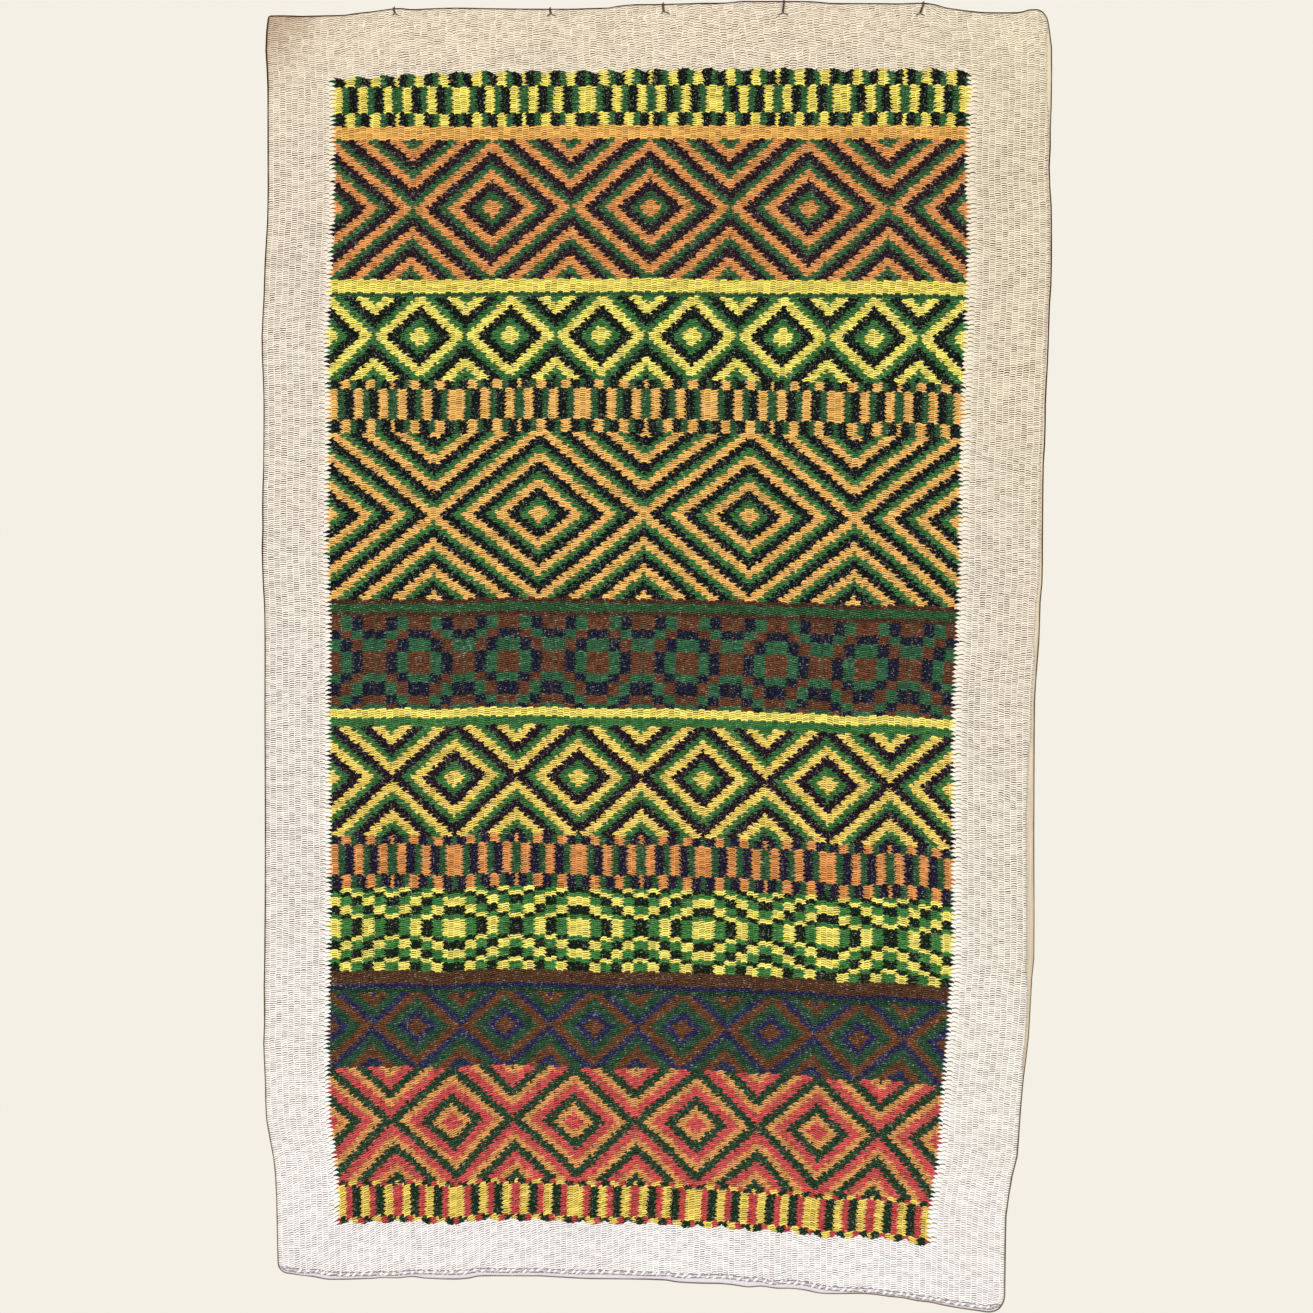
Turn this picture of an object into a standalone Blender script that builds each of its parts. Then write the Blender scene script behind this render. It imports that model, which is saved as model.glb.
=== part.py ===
"""Hand-woven wool wall hanging with the five brown threads that hold it up.

Metres, +Z up, the face of the cloth towards -Y. The origin is the middle of the
cloth's top edge, where the hanging is held. The tables are in millimetres.
"""

import math
from collections import namedtuple

import bmesh
import bpy
from mathutils import Vector

MM = 0.001

# Cloth
CLOTH_THICKNESS = 3.0 * MM
EDGE_CHAMFER = 0.8 * MM
EDGE_ANGLE = math.radians(50)
CORNER_REACH = (0.0, 3.0, 8.0, 16.0)
CREASE_ROWS = (22.0, 896.0, 918.0, 938.0)
WIDEST_CELL = 26.0
TIE_CELL = 4.0

# Straight line that the top edge would follow without its scallops
TOP_LINE_LEFT = -8.3
TOP_LINE_RIGHT = -5.2
SCALLOP_FADE = 42.0

# Threads
STRAND_RADIUS = 0.3
STRAND_PITCH = 0.95
STRAND_LIFT = 0.78
STRAND_TURN = 0.6
STRAND_ROUNDNESS = 2
STRAIGHT_ENOUGH = math.radians(140)
BEND_SHARE = 0.4
CROSSING_GAP = 0.5
HOLE_RADIUS = 0.8
HOLE_SIDES = 10
RIM_STEPS = 6
FORK_RISE = 1.3

# How far the ties hold the cloth flat against what it hangs on
TIE_FLAT = 24.0

# Depth of the hanging
BELLY = 5.0
HEM_KICK = 8.0
HEM_CREASE_Z = -918.0
HEM_CREASE_LENGTH = 70.0
HEM_RIPPLE = 2.5
HEM_RIPPLE_PITCH = 148.0
HEM_RIPPLE_FADE = 120.0
SWAG = 2.6
SWAG_FADE = 95.0

EdgeRow = namedtuple("EdgeRow", "along reach")
Corner = namedtuple("Corner", "side end radius")
Fold = namedtuple("Fold", "x z half_width half_height forward")
Curl = namedtuple("Curl", "side z half_length reach back")
Tie = namedtuple("Tie", "name rim_x foot_x drop left_hole right_hole")

# x of the left edge at each height
LEFT_EDGE = (
    EdgeRow(0.0, -309.2), EdgeRow(-10.0, -310.4), EdgeRow(-24.0, -311.4), EdgeRow(-38.0, -311.3),
    EdgeRow(-60.0, -309.6), EdgeRow(-107.0, -309.3), EdgeRow(-170.0, -309.5),
    EdgeRow(-202.0, -311.3), EdgeRow(-234.0, -312.4), EdgeRow(-265.0, -314.0),
    EdgeRow(-290.0, -313.2), EdgeRow(-313.0, -312.4), EdgeRow(-376.0, -312.6),
    EdgeRow(-392.0, -313.4), EdgeRow(-410.0, -312.8), EdgeRow(-423.0, -313.5),
    EdgeRow(-455.0, -312.8), EdgeRow(-480.0, -311.5), EdgeRow(-566.0, -311.5),
    EdgeRow(-676.0, -311.3), EdgeRow(-755.0, -311.9), EdgeRow(-780.0, -312.4),
    EdgeRow(-803.0, -312.0), EdgeRow(-818.0, -312.8), EdgeRow(-850.0, -311.5),
    EdgeRow(-882.0, -310.6), EdgeRow(-913.0, -305.1), EdgeRow(-935.0, -302.9),
    EdgeRow(-961.0, -301.7), EdgeRow(-1010.0, -300.2),
)

# x of the right edge at each height
RIGHT_EDGE = (
    EdgeRow(0.0, 306.8), EdgeRow(-10.0, 307.6), EdgeRow(-20.0, 309.2), EdgeRow(-26.0, 310.6),
    EdgeRow(-80.0, 310.7), EdgeRow(-92.0, 309.7), EdgeRow(-107.0, 309.9), EdgeRow(-123.0, 309.0),
    EdgeRow(-139.0, 308.9), EdgeRow(-155.0, 310.2), EdgeRow(-218.0, 310.1), EdgeRow(-234.0, 308.9),
    EdgeRow(-281.0, 307.2), EdgeRow(-313.0, 305.5), EdgeRow(-344.0, 305.0), EdgeRow(-360.0, 303.8),
    EdgeRow(-420.0, 303.0), EdgeRow(-455.0, 302.7), EdgeRow(-471.0, 301.2), EdgeRow(-502.0, 300.2),
    EdgeRow(-534.0, 297.7), EdgeRow(-550.0, 296.8), EdgeRow(-640.0, 296.4), EdgeRow(-757.0, 296.8),
    EdgeRow(-771.0, 295.1), EdgeRow(-787.0, 294.2), EdgeRow(-818.0, 292.3), EdgeRow(-850.0, 288.3),
    EdgeRow(-882.0, 285.5), EdgeRow(-897.0, 284.6), EdgeRow(-913.0, 283.3), EdgeRow(-929.0, 279.2),
    EdgeRow(-945.0, 276.4), EdgeRow(-961.0, 274.1), EdgeRow(-1040.0, 272.8),
)

# z of the top edge at each place across: drawn up at the ties, dropped at the corners
TOP_EDGE = (
    EdgeRow(-312.0, -7.0), EdgeRow(-300.0, -7.5), EdgeRow(-290.0, -8.2), EdgeRow(-281.0, -8.8),
    EdgeRow(-256.0, -8.8), EdgeRow(-248.0, -8.5), EdgeRow(-238.0, -7.0), EdgeRow(-227.0, -5.8),
    EdgeRow(-216.0, -4.2), EdgeRow(-206.0, -3.2), EdgeRow(-195.0, -4.0), EdgeRow(-182.0, -3.5),
    EdgeRow(-162.0, -3.0), EdgeRow(-125.0, -3.5), EdgeRow(-42.0, -3.5), EdgeRow(-33.0, -2.1),
    EdgeRow(-18.0, -0.3), EdgeRow(0.0, 0.0), EdgeRow(32.0, 0.7), EdgeRow(50.0, 0.7),
    EdgeRow(57.0, 1.2), EdgeRow(66.0, 2.2), EdgeRow(118.0, 2.2), EdgeRow(138.0, 0.4),
    EdgeRow(188.0, 0.4), EdgeRow(209.0, 1.0), EdgeRow(219.0, -0.4), EdgeRow(226.0, -2.5),
    EdgeRow(236.0, -4.1), EdgeRow(248.0, -5.6), EdgeRow(258.0, -6.4), EdgeRow(282.0, -6.4),
    EdgeRow(288.0, -5.5), EdgeRow(292.0, -4.2), EdgeRow(300.0, -3.6), EdgeRow(312.0, -3.6),
)

# z of the hem at each place across
BOTTOM_EDGE = (
    EdgeRow(-303.0, -1001.4), EdgeRow(-291.0, -1002.0), EdgeRow(-285.0, -1002.8),
    EdgeRow(-272.0, -1004.3), EdgeRow(-266.0, -1005.4), EdgeRow(-260.0, -1006.3),
    EdgeRow(-228.0, -1006.0), EdgeRow(-217.0, -1005.4), EdgeRow(-206.0, -1005.8),
    EdgeRow(-195.0, -1004.9), EdgeRow(-184.0, -1006.2), EdgeRow(-162.0, -1006.8),
    EdgeRow(-151.0, -1006.0), EdgeRow(-141.0, -1004.0), EdgeRow(-96.0, -1003.7),
    EdgeRow(-84.0, -1004.4), EdgeRow(-62.0, -1006.0), EdgeRow(-51.0, -1006.5),
    EdgeRow(4.0, -1007.2), EdgeRow(15.0, -1008.7), EdgeRow(37.0, -1009.6), EdgeRow(48.0, -1009.8),
    EdgeRow(59.0, -1011.0), EdgeRow(70.0, -1012.7), EdgeRow(81.0, -1012.3), EdgeRow(92.0, -1014.0),
    EdgeRow(104.0, -1014.3), EdgeRow(115.0, -1015.6), EdgeRow(126.0, -1017.8),
    EdgeRow(138.0, -1018.2), EdgeRow(159.0, -1017.7), EdgeRow(170.0, -1018.3),
    EdgeRow(181.0, -1019.8), EdgeRow(192.0, -1020.9), EdgeRow(203.0, -1023.2),
    EdgeRow(214.0, -1024.7), EdgeRow(225.0, -1027.3), EdgeRow(236.0, -1029.4),
    EdgeRow(258.0, -1032.8), EdgeRow(276.0, -1035.5),
)

CORNERS = (
    Corner("left", "top", 2.2),
    Corner("right", "top", 9.0),
    Corner("left", "bottom", 8.0),
    Corner("right", "bottom", 16.0),
)

# Soft bulges and hollows, forward towards the viewer
FOLDS = (
    Fold(-262.0, -300.0, 55.0, 210.0, 3.0),
    Fold(-140.0, -230.0, 50.0, 250.0, -3.5),
    Fold(-28.0, -260.0, 48.0, 240.0, 4.0),
    Fold(70.0, -330.0, 50.0, 230.0, -3.5),
    Fold(165.0, -270.0, 46.0, 230.0, 4.0),
    Fold(250.0, -420.0, 45.0, 200.0, -3.0),
    Fold(-190.0, -700.0, 60.0, 190.0, -3.0),
    Fold(-60.0, -720.0, 60.0, 200.0, 3.5),
    Fold(90.0, -740.0, 60.0, 190.0, -3.5),
    Fold(205.0, -700.0, 55.0, 190.0, 3.5),
    Fold(-291.0, -147.0, 24.0, 30.0, -2.5),
    Fold(297.0, -80.0, 26.0, 22.0, -3.0),
    Fold(300.0, -108.0, 22.0, 18.0, 1.5),
    Fold(293.0, -137.0, 26.0, 22.0, -3.0),
    Fold(-285.0, -905.0, 38.0, 28.0, -5.0),
    Fold(262.0, -930.0, 42.0, 26.0, -4.5),
)

# Stretches of the side edges that roll back
CURLS = (
    Curl("left", -305.0, 75.0, 22.0, 4.0),
    Curl("left", -560.0, 120.0, 20.0, 2.0),
    Curl("right", -62.0, 55.0, 20.0, 3.0),
    Curl("right", -755.0, 95.0, 22.0, 5.0),
)

# Corners that curl back, each a triangle this long on its two sides
CORNER_CURLS = (
    Curl("left", 0.0, 0.0, 62.0, 13.0),
    Curl("right", 0.0, 0.0, 34.0, 4.0),
)

# Where each thread crosses the edge, and the two holes that it is sewn through
TIES = (
    Tie("tie_1", -209.5, -208.4, 5.6, -1.7, 1.7),
    Tie("tie_2", -86.2, -85.2, 6.0, -3.0, 3.3),
    Tie("tie_3", 3.2, 3.6, 8.0, -1.8, 4.6),
    Tie("tie_4", 98.6, 97.6, 11.4, -3.4, 4.0),
    Tie("tie_5", 208.8, 206.0, 10.2, -3.0, 3.6),
)

# Colour, roughness and metallic value of each material
WOOL = ((0.78, 0.70, 0.56, 1.0), 0.9, 0.0)
THREAD = ((0.09, 0.055, 0.03, 1.0), 0.8, 0.0)


def clear_scene():
    """Empty the scene that the script was started in."""
    for thing in list(bpy.data.objects):
        bpy.data.objects.remove(thing, do_unlink=True)


def make_material(name, finish):
    """Return a plain material from a colour, roughness and metallic value."""
    colour, roughness, metallic = finish
    material = bpy.data.materials.new(name)
    material.use_nodes = True
    shader = material.node_tree.nodes["Principled BSDF"]
    shader.inputs["Base Color"].default_value = colour
    shader.inputs["Roughness"].default_value = roughness
    shader.inputs["Metallic"].default_value = metallic
    return material


def ease(value):
    """Smooth step from 0 to 1."""
    value = min(1.0, max(0.0, value))
    return value * value * (3.0 - 2.0 * value)


def along_edge(rows, along):
    """Read an edge table at a place, with a smooth curve between its rows."""
    rows = sorted(rows)
    if along <= rows[0].along:
        return rows[0].reach
    if along >= rows[-1].along:
        return rows[-1].reach
    index = 0
    while rows[index + 1].along < along:
        index += 1
    low, high = rows[index], rows[index + 1]
    before = rows[max(0, index - 1)]
    after = rows[min(len(rows) - 1, index + 2)]
    span = high.along - low.along
    rise_low = span * (high.reach - before.reach) / (high.along - before.along)
    rise_high = span * (after.reach - low.reach) / (after.along - low.along)
    t = (along - low.along) / span
    return (
        low.reach * (2 * t**3 - 3 * t**2 + 1)
        + rise_low * (t**3 - 2 * t**2 + t)
        + high.reach * (3 * t**2 - 2 * t**3)
        + rise_high * (t**3 - t**2)
    )


def top_line(share):
    """Height of the straight line under the top edge's scallops."""
    return TOP_LINE_LEFT + share * (TOP_LINE_RIGHT - TOP_LINE_LEFT)


def across_at(share, z):
    """Place across of a warp thread, given as a share of the width."""
    left = along_edge(LEFT_EDGE, z)
    right = along_edge(RIGHT_EDGE, z)
    return left + share * (right - left)


def share_at(x, z):
    """Share of the width at which a place across lies."""
    left = along_edge(LEFT_EDGE, z)
    right = along_edge(RIGHT_EDGE, z)
    return (x - left) / (right - left)


def cloth_place(share, down):
    """Place of a cloth point, before its corner is rounded, from two shares."""
    line = top_line(share)
    top = along_edge(TOP_EDGE, across_at(share, line))
    hem = along_edge(BOTTOM_EDGE, across_at(share, BOTTOM_EDGE[-1].reach))
    length = line - hem
    scallop = (top - line) * math.exp(-((down * length / SCALLOP_FADE) ** 2))
    z = line - down * length + scallop
    return across_at(share, z), z


def round_corner(share, down, radius, width, height):
    """Return how far a point moves in, across and along, at one rounded corner."""
    across = share * width
    along = down * height
    if across >= radius or along >= radius:
        return 0.0, 0.0
    inner = min(across, along)
    arc = radius - inner
    travel = max(across, along) - inner
    angle = math.radians(45) * (1.0 - travel / arc)
    near = radius - arc * math.cos(angle)
    far = radius - arc * math.sin(angle)
    if across < along:
        return near - across, far - along
    return far - across, near - along


def rounded_place(share, down):
    """Place of a cloth point in the plane of the hanging."""
    x, z = cloth_place(share, down)
    width = across_at(1.0, z) - across_at(0.0, z)
    height = cloth_place(share, 0.0)[1] - cloth_place(share, 1.0)[1]
    for corner in CORNERS:
        from_side = share if corner.side == "left" else 1.0 - share
        from_end = down if corner.end == "top" else 1.0 - down
        in_x, in_z = round_corner(from_side, from_end, corner.radius, width, height)
        x += in_x if corner.side == "left" else -in_x
        z += -in_z if corner.end == "top" else in_z
    return x, z


def flatness(x, z):
    """Share of the relief that is left near the ties, from 0 to 1."""
    left = 1.0
    for tie in TIES:
        foot_z = along_edge(TOP_EDGE, tie.rim_x)
        away = math.hypot(x - tie.rim_x, z - foot_z) / TIE_FLAT
        left *= 1.0 - math.exp(-(away**4))
    return left


def swag(x, z):
    """Forward sag of the top edge between two ties."""
    places = [tie.rim_x for tie in TIES]
    for low, high in zip(places, places[1:]):
        if low < x < high:
            middle = math.sin(math.pi * (x - low) / (high - low))
            return SWAG * middle**2 * math.exp(z / SWAG_FADE)
    return 0.0


def edge_curl(x, z):
    """Distance by which a rolled edge or corner lies back."""
    back = 0.0
    to_edge = {
        "left": max(0.0, x - along_edge(LEFT_EDGE, z)),
        "right": max(0.0, along_edge(RIGHT_EDGE, z) - x),
    }
    for curl in CURLS:
        near = max(0.0, 1.0 - to_edge[curl.side] / curl.reach) ** 2
        fade = math.exp(-(((z - curl.z) / curl.half_length) ** 2))
        back += curl.back * near * fade
    for curl in CORNER_CURLS:
        away = to_edge[curl.side] + max(0.0, top_line(0.0) - z)
        back += curl.back * max(0.0, 1.0 - away / curl.reach) ** 2
    return back


def relief(x, z):
    """Depth of the cloth's middle, in millimetres, with +Y behind the face."""
    forward = BELLY * math.sin(math.pi * ease(-z / -HEM_CREASE_Z))
    for fold in FOLDS:
        wide = (x - fold.x) / fold.half_width
        tall = (z - fold.z) / fold.half_height
        forward += fold.forward * math.exp(-(wide**2) - tall**2)
    below = (HEM_CREASE_Z - z) / HEM_CREASE_LENGTH
    forward += HEM_KICK * ease(below)
    ripple = math.sin(2.0 * math.pi * x / HEM_RIPPLE_PITCH)
    hem_z = along_edge(BOTTOM_EDGE, x)
    forward += HEM_RIPPLE * ripple * math.exp((hem_z - z) / HEM_RIPPLE_FADE)
    forward += swag(x, z)
    return (edge_curl(x, z) - forward) * flatness(x, z)


def fill_stations(fixed, length):
    """Return shares of a length: the fixed places and even steps between them."""
    marks = sorted(set(fixed))
    shares = [marks[0] / length]
    for low, high in zip(marks, marks[1:]):
        steps = max(1, math.ceil((high - low) / WIDEST_CELL))
        for step in range(1, steps + 1):
            shares.append((low + (high - low) * step / steps) / length)
    return shares


def cloth_stations():
    """Shares across and down at which the cloth's grid has its lines."""
    width = across_at(1.0, 0.0) - across_at(0.0, 0.0)
    height = -BOTTOM_EDGE[-1].reach
    across = [*CORNER_REACH, *(width - reach for reach in CORNER_REACH)]
    for tie in TIES:
        middle = share_at(tie.rim_x, 0.0) * width
        across += [middle - TIE_CELL, middle, middle + TIE_CELL]
    down = [*CORNER_REACH, *(height - reach for reach in CORNER_REACH), *CREASE_ROWS]
    return fill_stations(across, width), fill_stations(down, height)


def make_cloth(material):
    """One woven sheet, its folds and outline as it hangs."""
    across, down = cloth_stations()
    columns = len(across) - 1
    rows = len(down) - 1
    shape = bmesh.new()
    bmesh.ops.create_grid(shape, x_segments=columns, y_segments=rows, size=1.0)
    for vertex in shape.verts:
        column = round((vertex.co.x + 1.0) / 2.0 * columns)
        row = round((1.0 - vertex.co.y) / 2.0 * rows)
        x, z = rounded_place(across[column], down[row])
        vertex.co = Vector((x, relief(x, z), z)) * MM
    bmesh.ops.recalc_face_normals(shape, faces=shape.faces)
    mesh = bpy.data.meshes.new("woven_cloth")
    shape.to_mesh(mesh)
    shape.free()
    mesh.materials.append(material)
    mesh.shade_smooth()
    cloth = bpy.data.objects.new("woven_cloth", mesh)
    bpy.context.collection.objects.link(cloth)
    thicken = cloth.modifiers.new("thickness", "SOLIDIFY")
    thicken.thickness = CLOTH_THICKNESS
    thicken.offset = 0.0
    soften = cloth.modifiers.new("rounded_edge", "BEVEL")
    soften.width = EDGE_CHAMFER
    soften.segments = 1
    soften.limit_method = "ANGLE"
    soften.angle_limit = EDGE_ANGLE
    return cloth


def tie_holes(tie):
    """Places in the plane of the two holes of a tie."""
    z = along_edge(TOP_EDGE, tie.rim_x) - tie.drop
    return (tie.foot_x + tie.left_hole, z), (tie.foot_x + tie.right_hole, z)


def cut_tie_holes(cloth):
    """Cut the small holes that the threads are sewn through."""
    shape = bmesh.new()
    depth = 6.0 * CLOTH_THICKNESS
    for tie in TIES:
        for x, z in tie_holes(tie):
            hole = bmesh.ops.create_cone(
                shape,
                cap_ends=True,
                segments=HOLE_SIDES,
                radius1=HOLE_RADIUS * MM,
                radius2=HOLE_RADIUS * MM,
                depth=depth,
            )
            for vertex in hole["verts"]:
                out, side, along = vertex.co
                vertex.co = Vector((x * MM + out, relief(x, z) * MM + along, z * MM - side))
    mesh = bpy.data.meshes.new("hole_cutter")
    shape.to_mesh(mesh)
    shape.free()
    cutter = bpy.data.objects.new("hole_cutter", mesh)
    bpy.context.collection.objects.link(cutter)
    cutter.hide_render = True
    cutter.display_type = "WIRE"
    cut = cloth.modifiers.new("tie_holes", "BOOLEAN")
    cut.operation = "DIFFERENCE"
    cut.solver = "EXACT"
    cut.object = cutter


def over_the_edge(x, stand_off):
    """Points of a strand over the top edge, front to back, a little off the back."""
    reach = CLOTH_THICKNESS / MM / 2.0 + STRAND_LIFT
    centre_z = along_edge(TOP_EDGE, x) - CLOTH_THICKNESS / MM / 2.0
    centre_y = relief(x, centre_z)
    points = []
    for step in range(RIM_STEPS + 1):
        turned = step / RIM_STEPS
        angle = math.pi * turned
        radius = reach + stand_off * ease(turned)
        y = centre_y - radius * math.cos(angle)
        z = centre_z + radius * math.sin(angle)
        points.append(Vector((x, y, z)))
    return points


def wrap(tie, start_hole, end_hole, side, stand_off):
    """One turn of the thread: out of a hole, up the face, over and down the back.

    side is -1 for the left strand and 1 for the right one. stand_off lifts the
    second turn off the first, which it crosses behind the cloth.
    """
    reach = CLOTH_THICKNESS / MM / 2.0 + STRAND_LIFT
    offset = side * STRAND_PITCH / 2.0
    start_x, start_z = start_hole
    end_x, end_z = end_hole
    fork_x = tie.foot_x + offset
    fork_z = start_z + FORK_RISE
    front = [
        Vector((start_x, relief(start_x, start_z) - reach, start_z)),
        Vector((fork_x, relief(fork_x, fork_z) - reach, fork_z)),
    ]
    over = over_the_edge(tie.rim_x + offset, stand_off)
    back = Vector((end_x, relief(end_x, end_z) + reach, end_z))
    return [*front, *over, back]


def round_route(points, turn):
    """Round each corner of a closed route with a short three-point bend."""
    route = []
    count = len(points)
    for index, corner in enumerate(points):
        before = points[index - 1] - corner
        after = points[(index + 1) % count] - corner
        if before.angle(after) > STRAIGHT_ENOUGH:
            route.append(corner)
            continue
        into = corner + before.normalized() * min(turn, before.length * BEND_SHARE)
        out = corner + after.normalized() * min(turn, after.length * BEND_SHARE)
        route += [into, into / 4.0 + corner / 2.0 + out / 4.0, out]
    return route


def make_tie(tie, material):
    """A thread sewn twice over the edge, its two turns side by side on the face."""
    left, right = tie_holes(tie)
    lift = 2.0 * STRAND_RADIUS + CROSSING_GAP
    points = wrap(tie, left, right, -1, 0.0) + wrap(tie, right, left, 1, lift)
    route = round_route(points, STRAND_TURN)
    curve = bpy.data.curves.new(tie.name, "CURVE")
    curve.dimensions = "3D"
    curve.bevel_depth = STRAND_RADIUS * MM
    curve.bevel_resolution = STRAND_ROUNDNESS
    spline = curve.splines.new("POLY")
    spline.points.add(len(route) - 1)
    for point, place in zip(spline.points, route):
        point.co = (*(place * MM), 1.0)
    spline.use_cyclic_u = True
    curve.materials.append(material)
    thread = bpy.data.objects.new(tie.name, curve)
    bpy.context.collection.objects.link(thread)
    return thread


def main():
    """Build the cloth and its threads."""
    clear_scene()
    cloth = make_cloth(make_material("woven_wool", WOOL))
    cut_tie_holes(cloth)
    thread = make_material("brown_thread", THREAD)
    for tie in TIES:
        make_tie(tie, thread)


main()
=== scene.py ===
"""Looks of a hand-woven wool wall hanging: the web, its sewn edges and its threads.

Lengths in the tables are millimetres, with the face towards -Y, and everything
is turned into metres where a mesh is made. Weave coordinates count warp threads
across and weft rows down.
"""

import logging
import math
import random
from dataclasses import dataclass, field
from enum import Enum
from typing import Iterable, Sequence

import bpy
from mathutils import Matrix, Vector


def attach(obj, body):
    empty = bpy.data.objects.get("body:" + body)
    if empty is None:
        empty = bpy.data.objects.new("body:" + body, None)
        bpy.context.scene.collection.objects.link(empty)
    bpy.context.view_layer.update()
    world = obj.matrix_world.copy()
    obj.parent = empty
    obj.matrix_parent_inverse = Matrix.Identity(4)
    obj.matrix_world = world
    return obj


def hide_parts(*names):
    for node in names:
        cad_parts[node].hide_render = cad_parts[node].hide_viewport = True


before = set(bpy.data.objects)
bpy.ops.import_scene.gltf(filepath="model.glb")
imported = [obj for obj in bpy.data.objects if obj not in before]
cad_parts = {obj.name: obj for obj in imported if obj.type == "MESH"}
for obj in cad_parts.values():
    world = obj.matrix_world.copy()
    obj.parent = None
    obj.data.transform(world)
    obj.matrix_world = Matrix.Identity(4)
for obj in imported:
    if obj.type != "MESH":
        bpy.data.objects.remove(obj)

log = logging.getLogger("wall_hanging")

MM = 0.001
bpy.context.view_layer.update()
BODY = "root"

WARPS = 126
WEFT_ROWS = 578
WEAVE_MAP = "weave"
RIB_GROUP = "rib"

Socket = bpy.types.NodeSocket
Colour = tuple[float, float, float, float]
Value = Socket | float | Colour


class Side(Enum):
    """Side edge of the cloth."""

    LEFT = "left"
    RIGHT = "right"


class Motif(Enum):
    """Traditional figure that fills one band of the panel."""

    BROKEN_BARS = "broken_bars"
    STRIPES = "stripes"
    LOZENGES = "lozenges"
    STEPPED = "stepped"


@dataclass(frozen=True)
class EdgeRow:
    """One place of an outline: how far along the edge, and where the edge is."""

    along: float
    reach: float


@dataclass(frozen=True)
class Fold:
    """A soft bulge or hollow of the cloth, forward towards the viewer."""

    x: float
    z: float
    half_width: float
    half_height: float
    forward: float


@dataclass(frozen=True)
class Curl:
    """A stretch of a side edge that rolls back."""

    side: Side
    z: float
    half_length: float
    reach: float
    back: float


@dataclass(frozen=True)
class Corner:
    """A rounded corner of the cloth."""

    side: Side
    at_top: bool
    radius: float


@dataclass(frozen=True)
class TiePlace:
    """Where a thread crosses the top edge, and the holes it is sewn through."""

    name: str
    rim_x: float
    foot_x: float
    drop: float
    left_hole: float
    right_hole: float


@dataclass(frozen=True)
class Band:
    """One horizontal band of the panel: its height, figures across and three yarns."""

    height: float
    motif: Motif
    figures: int
    line: str
    middle: str
    ground: str


TIES = (
    TiePlace("tie_1", -209.5, -208.4, 5.6, -1.7, 1.7),
    TiePlace("tie_2", -86.2, -85.2, 6.0, -3.0, 3.3),
    TiePlace("tie_3", 3.2, 3.6, 8.0, -1.8, 4.6),
    TiePlace("tie_4", 98.6, 97.6, 11.4, -3.4, 4.0),
    TiePlace("tie_5", 208.8, 206.0, 10.2, -3.0, 3.6),
)


def rows_of(*pairs: tuple[float, float]) -> tuple[EdgeRow, ...]:
    """Make an outline's rows from pairs.

    Args:
        pairs: Place along the edge and place of the edge, in millimetres.

    Returns:
        The rows in order along the edge.
    """
    return tuple(sorted((EdgeRow(*pair) for pair in pairs), key=lambda row: row.along))


def ease(value: float) -> float:
    """Return the smooth step of a value from 0 to 1."""
    value = min(1.0, max(0.0, value))
    return value * value * (3.0 - 2.0 * value)


def read_edge(rows: Sequence[EdgeRow], along: float) -> float:
    """Read an outline at a place, with a smooth curve between its rows.

    Args:
        rows: The outline, in order.
        along: Place along it, in millimetres.

    Returns:
        Place of the edge there, in millimetres.
    """
    if along <= rows[0].along:
        return rows[0].reach
    if along >= rows[-1].along:
        return rows[-1].reach
    index = 0
    while rows[index + 1].along < along:
        index += 1
    low, high = rows[index], rows[index + 1]
    before = rows[max(0, index - 1)]
    after = rows[min(len(rows) - 1, index + 2)]
    span = high.along - low.along
    rise_low = span * (high.reach - before.reach) / (high.along - before.along)
    rise_high = span * (after.reach - low.reach) / (after.along - low.along)
    t = (along - low.along) / span
    return (
        low.reach * (2 * t**3 - 3 * t**2 + 1)
        + rise_low * (t**3 - 2 * t**2 + t)
        + high.reach * (3 * t**2 - 2 * t**3)
        + rise_high * (t**3 - t**2)
    )


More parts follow.
